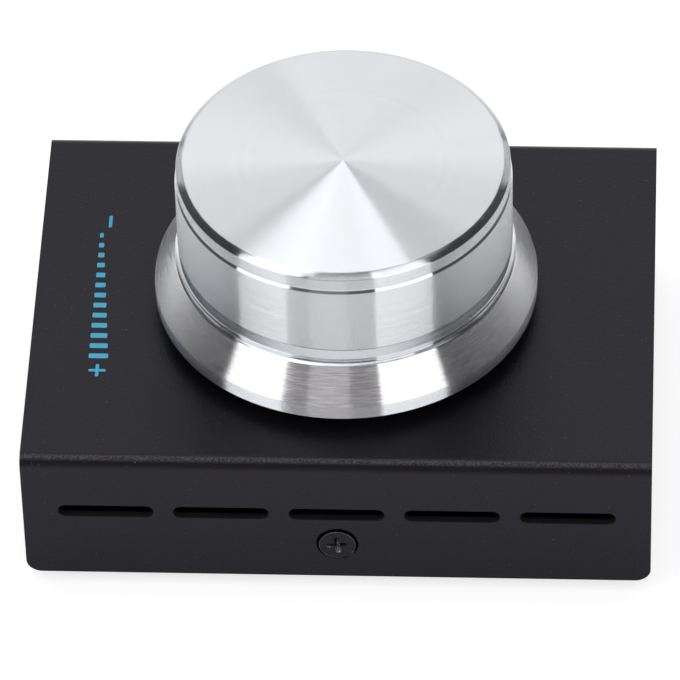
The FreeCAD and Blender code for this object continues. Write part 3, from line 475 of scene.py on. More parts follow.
# %% [markdown]
# ### The snap dome under the knob
# Deep inside the encoder a thin steel dome clicks when the knob is pressed. It is stamped from
# spring sheet, so its edges are rounded off in the same way, only much less. It can't follow a
# joint as a rigid piece does, because its foot stays and its crown goes down.

# %% Copy the dome
DOME_EDGE = 0.02
dome = soften(copy_node("switch_dome", "snap_dome"), DOME_EDGE, segments=1)
print("dome", count(dome), "triangles")

# %% [markdown]
# ## Volume marks
# On the left of the top stands a row of small bars that grow from a minus to a plus. It is a
# print, so it is nearly flat: 0.02 mm of ink. One bar is modelled from a cube with its four
# upright edges rounded, and each bar and each stroke of the two signs is made that way.

# %% Helper: one printed bar
INK, INK_SOAKED = 0.02, 0.01     # millimetres above and below the box's face
INK_CORNER = 0.16


def printed_bar(x0, x1, y0, y1):
    """A flat bar of ink with rounded corners, between two corners in millimetres."""
    clear_selection()
    bpy.ops.mesh.primitive_cube_add(size=1, location=(
        (x0 + x1) / 2 * MM, (y0 + y1) / 2 * MM, box_top + (INK - INK_SOAKED) / 2 * MM))
    bar = bpy.context.object
    bar.scale = ((x1 - x0) * MM, (y1 - y0) * MM, (INK + INK_SOAKED) * MM)
    settle(bar)
    pick_edges(bar, lambda a, b: abs(a.z - b.z) > INK / 2 * MM)
    bpy.ops.mesh.bevel(offset=INK_CORNER * MM, segments=4, affect="EDGES")
    leave_edit()
    return bar


print("printing ready")

# %% Print the volume marks
MARK_BASE_X = -32.4              # foot of the bars, they grow towards +X
MARK_NEAR_Y, MARK_FAR_Y = -14.9, 14.7
BAR_COUNT, BAR_WIDTH = 13, 0.85
LOWEST_BAR, HIGHEST_BAR = 0.5, 2.5
ROW_INSET = 3.7                  # from either end of the marks to the middle of the first bar
SIGN_ABOVE_FOOT = 1.25
SIGN_HALF, STROKE_HALF = 1.1, 0.22       # half the length and half the width of a stroke

bars = []
pitch = (MARK_FAR_Y - MARK_NEAR_Y - 2 * ROW_INSET) / (BAR_COUNT - 1)
for k in range(BAR_COUNT):
    y = MARK_FAR_Y - ROW_INSET - k * pitch
    height = LOWEST_BAR + (HIGHEST_BAR - LOWEST_BAR) * k / (BAR_COUNT - 1)
    bars.append(printed_bar(MARK_BASE_X, MARK_BASE_X + height,
                            y - BAR_WIDTH / 2, y + BAR_WIDTH / 2))
sign_x = MARK_BASE_X + SIGN_ABOVE_FOOT
bars.append(printed_bar(sign_x - STROKE_HALF, sign_x + STROKE_HALF,
                        MARK_FAR_Y - 2 * SIGN_HALF, MARK_FAR_Y))
plus_y = MARK_NEAR_Y + SIGN_HALF
plus = printed_bar(sign_x - STROKE_HALF, sign_x + STROKE_HALF,
                   plus_y - SIGN_HALF, plus_y + SIGN_HALF)
boolean(plus, printed_bar(sign_x - SIGN_HALF, sign_x + SIGN_HALF,
                          plus_y - STROKE_HALF, plus_y + STROKE_HALF), "UNION")
bars.append(plus)
clear_selection()
for bar in bars:
    bar.select_set(True)
bpy.context.view_layer.objects.active = bars[0]
bpy.ops.object.join()
marks = bars[0]
marks.name = marks.data.name = "volume_marks"
settle(marks)
print("volume marks:", count(marks), "triangles")

# %% [markdown]
# ## Shader helpers
# Each finish is a Principled BSDF with its own nodes. Short functions make the typing bearable:
# they add a node with its settings, do a sum, or start a group that several finishes share.

# %% Helpers for node trees
def add_node(tree, kind, **settings):
    """Adds a node; settings with a capital letter are input sockets, the others attributes."""
    node = tree.nodes.new("ShaderNode" + kind)
    for name, value in settings.items():
        if name[0].isupper():
            node.inputs[name.replace("_", " ")].default_value = value
        else:
            setattr(node, name, value)
    return node


def math_node(tree, operation, a, b=None, c=None):
    """A Math node whose inputs are sockets or plain numbers; returns its output."""
    node = tree.nodes.new("ShaderNodeMath")
    node.operation = operation
    for socket, value in zip(node.inputs, (a, b, c)):
        if value is None:
            continue
        if isinstance(value, (int, float)):
            socket.default_value = value
        else:
            tree.links.new(value, socket)
    return node.outputs[0]


def map_range(tree, value, low, high, to_low, to_high):
    node = add_node(tree, "MapRange", From_Min=low, From_Max=high, To_Min=to_low, To_Max=to_high)
    tree.links.new(value, node.inputs["Value"])
    return node.outputs["Result"]


def vector_math(tree, operation, a, b=None):
    """A Vector Math node on one or two sockets; returns its vector."""
    node = add_node(tree, "VectorMath", operation=operation)
    for socket, value in zip(node.inputs, (a, b)):
        if value is not None:
            tree.links.new(value, socket)
    return node.outputs[0]


def scaled(tree, vector, factor):
    node = add_node(tree, "VectorMath", operation="SCALE")
    tree.links.new(vector, node.inputs[0])
    tree.links.new(factor, node.inputs["Scale"])
    return node.outputs[0]


print("node helpers ready")

# %% [markdown]
# ### Groups and finishes
# A group is built once and placed in each material with its own values. A finish keeps its node
# tree and its shader at hand, so that later cells can wire into them.

# %% Helpers for groups and finishes
def new_group(name, inputs, outputs):
    """A shader node group; inputs are name: (kind, value) and outputs are name: kind."""
    group = bpy.data.node_groups.new(name, "ShaderNodeTree")
    for socket, (kind, value) in inputs.items():
        made = group.interface.new_socket(socket, in_out="INPUT", socket_type="NodeSocket" + kind)
        if value is not None:
            made.default_value = value
    for socket, kind in outputs.items():
        group.interface.new_socket(socket, in_out="OUTPUT", socket_type="NodeSocket" + kind)
    return group, group.nodes.new("NodeGroupInput"), group.nodes.new("NodeGroupOutput")


class Finish:
    """A material under construction: its node tree and its Principled BSDF."""

    def __init__(self, name, color, metallic=0.0, roughness=0.5, **sockets):
        self.material = bpy.data.materials.new(name)
        self.material.use_nodes = True
        self.tree = self.material.node_tree
        self.shader = self.tree.nodes["Principled BSDF"]
        self.shader.inputs["Base Color"].default_value = (*color, 1)
        self.shader.inputs["Metallic"].default_value = metallic
        self.shader.inputs["Roughness"].default_value = roughness
        for socket, value in sockets.items():
            self.shader.inputs[socket.replace("_", " ")].default_value = value
        self.material.diffuse_color = (*color, 1)

    def node(self, kind, **settings):
        return add_node(self.tree, kind, **settings)

    def wire(self, source, target):
        self.tree.links.new(source, target)


def place_group(finish, group, **values):
    node = finish.tree.nodes.new("ShaderNodeGroup")
    node.node_tree = group
    for name, value in values.items():
        node.inputs[name].default_value = value
    return node


print("group and finish helpers ready")

# %% [markdown]
# ### Nothing is one flat colour
# Nearly every surface varies a little in colour and gloss. A noise makes the colour darker and
# paler or the gloss weaker and stronger, and a second colour, such as dust, wear or a painted
# highlight, can lie over the first.

# %% Helpers that vary a finish
# numbers of a Mix node's colour sockets, because its other sockets have the same names
MIX_FACTOR, MIX_UNDER, MIX_OVER, MIX_OUT = 0, 6, 7, 2
NOISE_LOW, NOISE_HIGH = 0.3, 0.7         # nearly all of a noise lies between these values


def two_tones(finish, mask, color, contrast):
    """A colour that a noise makes darker and paler by the share that contrast says."""
    shade = finish.node("Mix", data_type="RGBA")
    shade.inputs[MIX_UNDER].default_value = (*[c * (1 - contrast) for c in color], 1)
    shade.inputs[MIX_OVER].default_value = (*[min(1, c * (1 + contrast)) for c in color], 1)
    finish.wire(map_range(finish.tree, mask, NOISE_LOW, NOISE_HIGH, 0, 1),
                shade.inputs[MIX_FACTOR])
    return shade.outputs[MIX_OUT]


def vary_roughness(finish, mask, roughness, spread):
    finish.wire(map_range(finish.tree, mask, NOISE_LOW, NOISE_HIGH,
                          roughness - spread, roughness + spread),
                finish.shader.inputs["Roughness"])


def laid_over(finish, under, color, mask):
    """A second colour on top of what is there, where the mask says so."""
    over = finish.node("Mix", data_type="RGBA")
    over.inputs[MIX_OVER].default_value = (*color, 1)
    finish.wire(mask, over.inputs[MIX_FACTOR])
    finish.wire(under, over.inputs[MIX_UNDER])
    return over.outputs[MIX_OUT]


print("helpers that vary a finish ready")

# %% [markdown]
# ## Shared effect 1: turning marks
# A lathe tool leaves rings. Across the rings the surface changes at random, and along a ring it
# hardly changes at all. So the group first turns each point into one reading: on the top face
# that is its distance from the axis, on a wall its height.

# %% Group: turning marks, one reading for each point
marks_group, given, result = new_group(
    "turning_marks",
    {"Position": ("Vector", None), "Surface": ("Vector", None), "Along": ("Float", 0.0),
     "Feed": ("Float", 0.05), "Slope": ("Float", 0.3), "Lean": ("Float", 0.0),
     "Uneven": ("Float", 0.1), "Streak": ("Float", 0.2)},
    {"Marks": "Float", "Normal": "Vector"})
tree = marks_group
split = add_node(tree, "SeparateXYZ")
tree.links.new(given.outputs["Position"], split.inputs[0])
off_x = math_node(tree, "SUBTRACT", split.outputs["X"], axis_x)
off_y = math_node(tree, "SUBTRACT", split.outputs["Y"], axis_y)
radius = math_node(tree, "SQRT", math_node(tree, "ADD", math_node(tree, "MULTIPLY", off_x, off_x),
                                           math_node(tree, "MULTIPLY", off_y, off_y)))
# Along = 0 reads the distance from the axis, Along = 1 the height
reading = math_node(tree, "DIVIDE", math_node(
    tree, "ADD",
    math_node(tree, "MULTIPLY", radius,
              math_node(tree, "SUBTRACT", 1.0, given.outputs["Along"])),
    math_node(tree, "MULTIPLY", split.outputs["Z"], given.outputs["Along"])), MM)
print("readings in millimetres:", len(tree.nodes), "nodes")

# %% [markdown]
# ### Rings and streaks
# Rings are noise along a single line, the reading, in a coarse and a fine size. On the real knob
# they also fade in and out on their way round, so a second noise is stretched along them. The
# group puts out the two as one mask.

# %% Group: turning marks, rings and streaks
RING_NOISE = ((0.9, 0.4), (0.16, 0.6))   # size in millimetres, and share of the rings
STREAK_WIDTH = 0.08                      # millimetres
STREAK_BREAKS = 14.0                     # more means shorter streaks

rings = []
for size, share in RING_NOISE:
    noise = add_node(tree, "TexNoise", noise_dimensions="1D", Scale=1.0, Detail=2.0, Roughness=0.6)
    tree.links.new(math_node(tree, "DIVIDE", reading, size), noise.inputs["W"])
    rings.append(math_node(tree, "MULTIPLY", noise.outputs[0], share))
rings = math_node(tree, "ADD", *rings)

angle = math_node(tree, "ARCTAN2", off_y, off_x)
around = add_node(tree, "CombineXYZ")
tree.links.new(math_node(tree, "DIVIDE", reading, STREAK_WIDTH), around.inputs["X"])
for trig, socket in (("COSINE", "Y"), ("SINE", "Z")):
    tree.links.new(math_node(tree, "MULTIPLY", math_node(tree, trig, angle), STREAK_BREAKS),
                   around.inputs[socket])
streak = add_node(tree, "TexNoise", noise_dimensions="3D", Scale=0.7, Detail=3.0, Roughness=0.65)
tree.links.new(around.outputs[0], streak.inputs["Vector"])
rest = math_node(tree, "SUBTRACT", 1.0, given.outputs["Streak"])
mask = math_node(tree, "ADD", math_node(tree, "MULTIPLY", rings, rest),
                 math_node(tree, "MULTIPLY", streak.outputs[0], given.outputs["Streak"]))
tree.links.new(mask, result.inputs["Marks"])
print("rings and streaks:", len(tree.nodes), "nodes")

# %% [markdown]
# ### From marks to a normal
# One pass of the tool is 0.05 mm wide, too fine for a bump, which compares one pixel with the
# next. So the group works out the slope across a ring by itself. It goes evenly from one side to
# the other within a pass, as the tool's round nose leaves it. A lean is added where a surface
# isn't quite flat or upright, and the mask adds unevenness. The slope tips the surface's normal
# towards the axis on the face, and upwards on a wall.

# %% Group: turning marks, the slope of each mark
place_in_feed = math_node(tree, "FRACT", math_node(tree, "DIVIDE", reading, given.outputs["Feed"]))
slope = math_node(tree, "MULTIPLY", math_node(tree, "MULTIPLY_ADD", place_in_feed, 2.0, -1.0),
                  given.outputs["Slope"])
slope = math_node(tree, "ADD", slope, given.outputs["Lean"])
slope = math_node(tree, "ADD", slope, math_node(
    tree, "MULTIPLY", math_node(tree, "SUBTRACT", mask, 0.5), given.outputs["Uneven"]))
ring_way = add_node(tree, "CombineXYZ")
tree.links.new(math_node(tree, "MULTIPLY", off_y, -1.0), ring_way.inputs["X"])
tree.links.new(off_x, ring_way.inputs["Y"])
ring_way = vector_math(tree, "NORMALIZE", ring_way.outputs[0])
across = vector_math(tree, "CROSS_PRODUCT", given.outputs["Surface"], ring_way)
tilted = vector_math(tree, "ADD", given.outputs["Surface"], scaled(tree, across, slope))
to_world = add_node(tree, "VectorTransform", vector_type="NORMAL", convert_from="OBJECT",
                    convert_to="WORLD")
tree.links.new(tilted, to_world.inputs[0])
tree.links.new(vector_math(tree, "NORMALIZE", to_world.outputs[0]), result.inputs["Normal"])
print("group turning_marks:", len(tree.nodes), "nodes")

# %% [markdown]
# ## Shared effect 2: fine grain and specks
# Powder coat, rubber and moulded plastic all have a fine grain, only of different size. Two
# sizes of 3-D noise make it. The same group gives a mask of rare small specks, which the dark
# finishes use for dust.

# %% Group: grain and specks
MOTTLE_SCALE = 0.045             # the mottle is the same noise, drawn this much larger
SPECK_EDGE = 14.0                # how sharply a speck stands out

grain_group, given, result = new_group(
    "grain_and_specks",
    {"Position": ("Vector", None), "Grain": ("Float", 0.3), "Speck": ("Float", 0.35),
     "Rarity": ("Float", 0.74)},
    {"Grain": "Float", "Mottle": "Float", "Specks": "Float"})
tree = grain_group
position = given.outputs["Position"]


def noise_of_size(tree, position, size_socket, detail, factor=1.0):
    """3-D noise whose grain has the size in millimetres that a socket gives."""
    per_size = math_node(tree, "DIVIDE", factor / MM, size_socket)
    noise = add_node(tree, "TexNoise", Scale=1.0, Detail=detail, Roughness=0.55)
    tree.links.new(scaled(tree, position, per_size), noise.inputs["Vector"])
    return noise.outputs[0]


tree.links.new(noise_of_size(tree, position, given.outputs["Grain"], 3.0), result.inputs["Grain"])
tree.links.new(noise_of_size(tree, position, given.outputs["Grain"], 2.0, MOTTLE_SCALE),
               result.inputs["Mottle"])
speck = noise_of_size(tree, position, given.outputs["Speck"], 1.0)
above = math_node(tree, "SUBTRACT", speck, given.outputs["Rarity"])
specks = add_node(tree, "Math", operation="MULTIPLY", use_clamp=True)
tree.links.new(above, specks.inputs[0])
specks.inputs[1].default_value = SPECK_EDGE
tree.links.new(specks.outputs[0], result.inputs["Specks"])
print("group grain_and_specks:", len(tree.nodes), "nodes")

# %% [markdown]
# ## Turned aluminium
# Tool marks make a metal anisotropic: light spreads across the marks and stays sharp along
# them, which draws the bright wedge on the top face and the upright bands on the cylinder.
# A radial tangent round Z follows the rings. The face and the wall share one recipe, and the
# wall reads its rings by height.

# %% Recipe for turned metal
ALUMINIUM = (0.785, 0.80, 0.83)
BY_DISTANCE, BY_HEIGHT = 0.0, 1.0        # how the rings are read
ACROSS_THE_RINGS = 0.25                  # a quarter turn from the tangent


def turned_metal(name, along, color=ALUMINIUM, roughness=0.2, spread=0.04, feed=0.05, slope=0.3,
                 lean=0.0, uneven=0.15, streak=0.3, contrast=0.06):
    """slope is the steepest side of a tool mark; lean tips the surface inwards and upwards."""
    finish = Finish(name, color, metallic=1.0, roughness=roughness, Anisotropic=1.0,
                    Anisotropic_Rotation=ACROSS_THE_RINGS)
    coordinates = finish.node("TexCoord")
    effect = place_group(finish, marks_group, Along=along, Feed=feed, Slope=slope, Lean=lean,
                         Uneven=uneven, Streak=streak)
    finish.wire(coordinates.outputs["Object"], effect.inputs["Position"])
    finish.wire(coordinates.outputs["Normal"], effect.inputs["Surface"])
    tangent = finish.node("Tangent", direction_type="RADIAL", axis="Z")
    finish.wire(tangent.outputs[0], finish.shader.inputs["Tangent"])
    vary_roughness(finish, effect.outputs["Marks"], roughness, spread)
    finish.wire(two_tones(finish, effect.outputs["Marks"], color, contrast),
                finish.shader.inputs["Base Color"])
    finish.wire(effect.outputs["Normal"], finish.shader.inputs["Normal"])
    return finish.material


print("recipe for turned metal ready")

# %% [markdown]
# ### One knob, eight cuts
# The angle and the smoothness of each cut differ, so the knob's zones reflect the same room
# differently: face, cylinder and rim carry full tool marks, the bevel and the grooves are cut
# nearly smooth, and the cone shows single streaks. Each face of the mesh gets the finish of the
# zone in which its middle lies.

# %% Finishes of the knob
knob_finishes = {
    "face": turned_metal("turned_face", BY_DISTANCE, slope=0.38, lean=-0.15, uneven=0.05,
                         spread=0.02, contrast=0.03),
    "wall": turned_metal("turned_wall", BY_HEIGHT, slope=0.40, lean=0.24),
    "bright": turned_metal("bright_cut", BY_HEIGHT, slope=0.04, uneven=0.25, roughness=0.12,
                           contrast=0.12),
    "bevel": turned_metal("cut_bevel", BY_HEIGHT, color=(0.68, 0.69, 0.72), slope=0.05,
                          uneven=0.4, roughness=0.14, streak=0.5, contrast=0.16),
    "waist": turned_metal("turned_waist", BY_HEIGHT, color=(0.69, 0.70, 0.73), slope=0.10,
                          lean=-0.035, uneven=0.2),
    "cone": turned_metal("turned_cone", BY_HEIGHT, color=(0.825, 0.83, 0.895), slope=0.06,
                         uneven=0.08, streak=0.9, contrast=0.23),
    "rim": turned_metal("turned_rim", BY_HEIGHT, color=(0.67, 0.685, 0.715), slope=0.30,
                        lean=0.52),
    "inside": turned_metal("rough_turned_inside", BY_DISTANCE, roughness=0.5, slope=0.3),
}
# depths below the top face, in millimetres
FACE_END, BEVEL_END, CONE_END = 0.02, 0.66, -CONE_FOOT[1]
GROOVE, LOWER_CUTS, WAIST = (2.4, 2.87), (12.6, 15.43), (13.0, 14.435)
UNDERSIDE_RADIUS, UNDERSIDE_DEPTH = HOLLOW_RADIUS + 0.1, foot_depth - 0.05


def knob_zone(centre):
    """Which finish a face of the knob gets, by its distance from the axis and its depth."""
    r = math.hypot(centre.x - axis_x, centre.y - axis_y) / MM
    depth = (knob_top - centre.z) / MM
    if depth < FACE_END:
        return "face"
    if r < UNDERSIDE_RADIUS or depth > UNDERSIDE_DEPTH:
        return "inside"
    if WAIST[0] < depth < WAIST[1]:
        return "waist"
    if depth < BEVEL_END:
        return "bevel"
    if GROOVE[0] < depth < GROOVE[1] or LOWER_CUTS[0] < depth < LOWER_CUTS[1]:
        return "bright"
    return "wall" if depth < LOWER_CUTS[1] else "cone" if depth < CONE_END else "rim"


zones = list(knob_finishes)
for material in knob_finishes.values():
    knob.data.materials.append(material)
for face in knob.data.polygons:
    face.material_index = zones.index(knob_zone(face.center))
print("knob finishes:", [m.name for m in knob.data.materials])

# %% [markdown]
# ## Painted, moulded and plated finishes
# The rest of the object is darker and quieter. Each recipe starts from the same grain group
# with its own size: powder coat has a fine orange-peel, rubber a coarser one, mouldings almost
# none. On the box's upper bends a paler colour lies over the coat. It is a painted highlight,
# where the crown of each bend faces the lamps overhead. A bend is found by its normal, which
# lies between the wall's and the top's.

# %% Recipe for a grained finish
BEND_BEGINS, BEND_ENDS, BEND_RISES = (0.20, 0.36), (0.54, 0.72), (0.5, 0.6)
HIGHLIGHT_GRAIN = (0.38, 0.62, 0.1, 1.0)    # the painted highlight takes the tops of the grain, and little else


def painted_bend_highlight(finish, normal, grain):
    """Painted highlight on the bends between top and long walls, broken up by the grain."""
    tree = finish.tree
    facing = finish.node("SeparateXYZ")
    finish.wire(normal, facing.inputs[0])
    out = math_node(tree, "ABSOLUTE", facing.outputs["Y"])
    bend = math_node(tree, "MULTIPLY", map_range(tree, out, *BEND_BEGINS, 0, 1),
                     map_range(tree, out, *BEND_ENDS, 1, 0))
    bend = math_node(tree, "MULTIPLY", bend,
                     map_range(tree, facing.outputs["Z"], *BEND_RISES, 0, 1))
    return math_node(tree, "MULTIPLY", bend, map_range(tree, grain, *HIGHLIGHT_GRAIN))


def grained(name, color, roughness, grain=0.3, relief=0.01, mottle=0.12, speck_color=None,
            rarity=0.74, speck=0.35, metallic=0.0, spread=0.06, painted_highlight=None, **sockets):
    """grain, speck and relief are sizes in millimetres; the bend colour paints a highlight."""
    finish = Finish(name, color, metallic=metallic, roughness=roughness, **sockets)
    tree = finish.tree
    coordinates = finish.node("TexCoord")
    effect = place_group(finish, grain_group, Grain=grain, Speck=speck, Rarity=rarity)
    finish.wire(coordinates.outputs["Object"], effect.inputs["Position"])
    blend = math_node(tree, "ADD", math_node(tree, "MULTIPLY", effect.outputs["Mottle"], 0.5),
                      math_node(tree, "MULTIPLY", effect.outputs["Grain"], 0.5))
    shade = two_tones(finish, blend, color, mottle)
    if speck_color:
        shade = laid_over(finish, shade, speck_color, effect.outputs["Specks"])
    # painted highlight: a paler colour on the crown of the upper bends, which face the lamps
    # overhead
    if painted_highlight:
        shade = laid_over(finish, shade, painted_highlight, painted_bend_highlight(
            finish, coordinates.outputs["Normal"], effect.outputs["Grain"]))
    finish.wire(shade, finish.shader.inputs["Base Color"])
    vary_roughness(finish, effect.outputs["Mottle"], roughness, spread)
    bump = finish.node("Bump", Strength=1.0, Distance=relief * MM)
    finish.wire(effect.outputs["Grain"], bump.inputs["Height"])
    finish.wire(bump.outputs[0], finish.shader.inputs["Normal"])
    return finish.material


print("recipe for grained finishes ready")

# %% [markdown]
# ### The list of finishes
# The colours are those of the bare material or coat, except where light is painted: a highlight
# on the box's upper bends, light, in part, on the slots' walls and glints in the screws'
# recesses. The black coat is very dark and slightly blue, and nearly all of what is seen on it
# is its sheen. Bare metals have a metallic of 1, and their colour is the colour of their
# reflections.

# %% Mix the finishes
finishes = {
    "black_sheet": grained("powder_coat", (0.0052, 0.0047, 0.0074), 0.30, grain=0.23,
                           relief=0.045, spread=0.02, mottle=0.16,
                           speck_color=(0.14, 0.14, 0.155), rarity=0.74, speck=0.28,
                           # the last colour is a highlight painted along the box's upper bends
                           painted_highlight=(0.068, 0.066, 0.074), Specular_IOR_Level=0.285,
                           Specular_Tint=(0.91, 0.86, 1, 1)),
    # paler than the black coat: partly a thinner coat, partly painted light in the slots
    "slot_edge": grained("thin_coat_with_painted_light", (0.015, 0.0145, 0.016), 0.45, grain=0.2, relief=0.03,
                         Specular_IOR_Level=0.3),
    "black_screw": grained("black_oxide", (0.010, 0.0095, 0.0115), 0.30, grain=0.15,
                           relief=0.012, speck_color=(0.35, 0.35, 0.36), rarity=0.71,
                           speck=0.12, metallic=0.2, Specular_IOR_Level=0.25),
    # steel worn bare at the rim; on the lower walls of a recess it is a painted glint
    "worn_edge": grained("black_oxide_wear_and_glints", (0.10, 0.10, 0.105), 0.28, grain=0.12, relief=0.02,
                         mottle=0.9, speck_color=(0.8, 0.8, 0.8), rarity=0.65, speck=0.2,
                         metallic=0.85),
    "rubber_feet": grained("rubber", (0.022, 0.022, 0.023), 0.75, grain=0.35, relief=0.03,
                           speck_color=(0.07, 0.07, 0.07), rarity=0.72),
    "capacitor_metal": grained("drawn_can", (0.75, 0.75, 0.76), 0.24, metallic=1.0,
                               relief=0.002),
    "board_laminate": grained("solder_mask", (0.02, 0.15, 0.06), 0.3, relief=0.004),
    "black_moulding": grained("black_moulding", (0.028, 0.028, 0.03), 0.5, relief=0.008),
    "rotor_moulding": grained("pale_moulding", (0.72, 0.70, 0.62), 0.45, relief=0.006),
    "die_cast": grained("die_cast_zinc", (0.60, 0.60, 0.61), 0.42, metallic=1.0, relief=0.015),
    "bare_steel": grained("nickel_plate", (0.62, 0.61, 0.60), 0.28, metallic=1.0, relief=0.003),
    "brass": grained("turned_brass", (0.76, 0.57, 0.26), 0.3, metallic=1.0, relief=0.004),
    "tinned_pins": grained("tin_plate", (0.70, 0.70, 0.70), 0.36, metallic=1.0, relief=0.01),
    "ceramic_part": grained("tan_ceramic", (0.50, 0.38, 0.25), 0.5, relief=0.006),
    "resistor_part": grained("dark_glaze", (0.03, 0.03, 0.035), 0.35, relief=0.004),
    "print": grained("blue_ink", (0.045, 0.42, 0.66), 0.5, grain=0.2, relief=0.004, mottle=0.1),
}
print(len(finishes), "finishes mixed")

# %% [markdown]
# ### Placing them
# A CAD node keeps its mesh and only gets a better finish, found by the slot that the record
# gives it. The new pieces are finished by name. The knob has its own finishes already.

# %% Place the finishes
def coat(piece, *slots):
    """Gives a piece its finishes; all its faces take the first."""
    piece.data.materials.clear()
    for slot in slots:
        piece.data.materials.append(finishes[slot])


slot_of = {part["node"]: part["material_slot"] for part in frame["record"]["subparts"]}
coated_nodes = [node for node in nodes if slot_of[node] in finishes]
for node in coated_nodes:
    coat(nodes[node], slot_of[node])
coated_pieces = [(base, "black_sheet"), (marks, "print"), (dome, "bare_steel"),
                 *((foot, "rubber_feet") for foot in feet)]
for piece, slot in coated_pieces:
    coat(piece, slot)
print("finishes placed on", len(coated_nodes), "nodes and", len(coated_pieces), "new pieces")

# %% [markdown]
# ### Faces with a finish of their own
# The coat is thin and dull on the walls of the slots, because powder hardly gets in there, and
# its paler colour there is partly painted light, for the light that reaches into the slots. They
# lie between the screw and the bend. On a screw, steel shows where the rim is worn, and the
# same paler steel on the lower walls of the recess is a painted glint.

# %% Coat the slots' walls with painted light, wear and paint glints on the screws
SLOT_WITHIN_X, SLOT_BEYOND_Y = 38, 28.9      # between the box's ends, in the flanges
SLOT_OVER_SCREW, SLOT_UNDER_TOP = 2.5, 3     # over the screw, under the bend
NOT_OUTWARDS = 0.5                           # a slot's wall faces sideways, up or down
RIM_RADIUS = 2.25                            # the outer edge of a screw's head
GLINT_RADIUS, GLINT_DEPTHS, GLINT_BELOW = 1.5, (0.03, 1.2), -0.3   # the lower walls of the recess, given the paler steel as a painted glint

# the walls of the slots take the paler coat, partly painted light that reaches into them
coat(cover, "black_sheet", "slot_edge")
for face in cover.data.polygons:
    in_wall = (abs(face.center.x / MM) < SLOT_WITHIN_X and abs(face.center.y / MM) > SLOT_BEYOND_Y
               and abs(face.normal.y) < NOT_OUTWARDS)
    over_screw = (face.center.z - screw_axis["front"].z) / MM > SLOT_OVER_SCREW
    face.material_index = int(in_wall and over_screw
                              and face.center.z < box_top - SLOT_UNDER_TOP * MM)
print("walls of slots:", sum(face.material_index for face in cover.data.polygons), "faces")

for place, screw in screws.items():
    coat(screw, "black_screw", "worn_edge")
    for face in screw.data.polygons:
        off = (face.center - screw_axis[place]) / MM
        from_axis = math.hypot(off.x, off.z)
        # the recess's lower walls, which face the lamps, get the paler steel as a painted glint
        painted_highlight = (from_axis < GLINT_RADIUS and GLINT_DEPTHS[0] < abs(off.y) < GLINT_DEPTHS[1]
                  and off.z < GLINT_BELOW)
        face.material_index = int(from_axis > RIM_RADIUS or painted_highlight)
    print(screw.name, sum(face.material_index for face in screw.data.polygons), "worn faces")

# %% [markdown]
# ## What moves with what
# The knob rides on the body that turns and presses, the rest stays with the box. A new piece
# that stands for a CAD node hides that node. The snap dome stays with the box too, with a mesh
# of its own, though its crown sinks as the switch closes.

for piece, body, slot, node in (
    (knob, "knob", "turned_aluminium", "knob_body"),
    (cover, "root", "black_sheet", "cover_shell"),
    (base, "root", "black_sheet", "base_shell"),
    (front_screw, "root", "black_screw", "closing_screw_front"),
    (rear_screw, "root", "black_screw", "closing_screw_rear"),
    (feet[0], "root", "rubber_feet", "foot_front_left"),
    (feet[1], "root", "rubber_feet", "foot_front_right"),
    (feet[2], "root", "rubber_feet", "foot_rear_left"),
    (feet[3], "root", "rubber_feet", "foot_rear_right"),
    (dome, "root", "bare_steel", "switch_dome"),
):
    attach(piece, body)
    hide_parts(node)
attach(marks, "root")

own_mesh(dome)
print("pieces tied")

# %% [markdown]
# ## The studio
# A polished turned part is a picture of its lamps, so the lamps are placed by direction. Two
# upright soft boxes left and right of the camera draw the two bright bands. Soft lamps overhead
# and a pale sweep behind draw the wedge on the top face. Low cards in front light the box's
# front and the middle of the knob, and two at the back keep its far side from going black. A
# helper gives each lamp a radiance, because that is what a reflection shows, whatever the
# lamp's size.

# %% Set up the lamps
def soft_box(name, azimuth, elevation, distance, width, height, radiance, color=(1, 1, 1),
             roll=0, lift=0):
    """A rectangular lamp that faces the knob; azimuth 0 is the viewer's side, + is right.
    lift slides it along its own height."""
    lamp = bpy.data.lights.new(name, "AREA")
    lamp.shape, lamp.size, lamp.size_y = "RECTANGLE", width, height
    lamp.energy = radiance * math.pi * width * height
    lamp.color = color
    lamp_object = bpy.data.objects.new(name, lamp)
    lamp_object.visible_camera = False
    bpy.context.collection.objects.link(lamp_object)
    a, e = math.radians(azimuth), math.radians(elevation)
    out = Vector((math.sin(a) * math.cos(e), -math.cos(a) * math.cos(e), math.sin(e)))
    target = Vector((axis_x, axis_y, knob_foot))
    lamp_object.matrix_world = Matrix.Translation(target + out * distance) @ \
        out.to_track_quat("Z", "Y").to_matrix().to_4x4() @ \
        Matrix.Rotation(math.radians(roll), 4, "Z") @ Matrix.Translation((0, lift, 0))


soft_box("left_soft_box", -49.3, 27.2, 0.9, 0.52, 1.32, 1.5, roll=5.9, lift=0.19)
soft_box("right_soft_box", 37.2, 7.8, 0.9, 0.56, 1.66, 1.42, roll=-5.7, lift=0.71)
soft_box("zenith_soft_box", -115, 83, 0.9, 0.68, 0.50, 1.5, roll=-38.3)
soft_box("front_soft_box", 1, 52, 0.9, 0.50, 0.29, 0.9)
soft_box("high_right_card", 80, 62, 0.9, 0.30, 0.24, 0.4)
soft_box("low_front_card", -7.5, 12.5, 0.9, 0.35, 0.40, 0.31, color=(1, 0.95, 0.96))
soft_box("low_front_wall", -3.5, 12.5, 0.95, 0.95, 0.42, 0.20, color=(1, 0.93, 0.95))
soft_box("back_sweep", 183.5, 36, 1.0, 1.4, 1.3, 0.97)
soft_box("right_back_card", 137, 13, 0.9, 0.32, 0.42, 0.5)
soft_box("left_back_card", -133, 13, 0.9, 0.26, 0.42, 0.5)

# %% [markdown]
# ### The room around
# The world is a dim room that fills the gaps between the lamps. It gets darker from the horizon
# upwards, which a colour ramp over the height of each direction says.

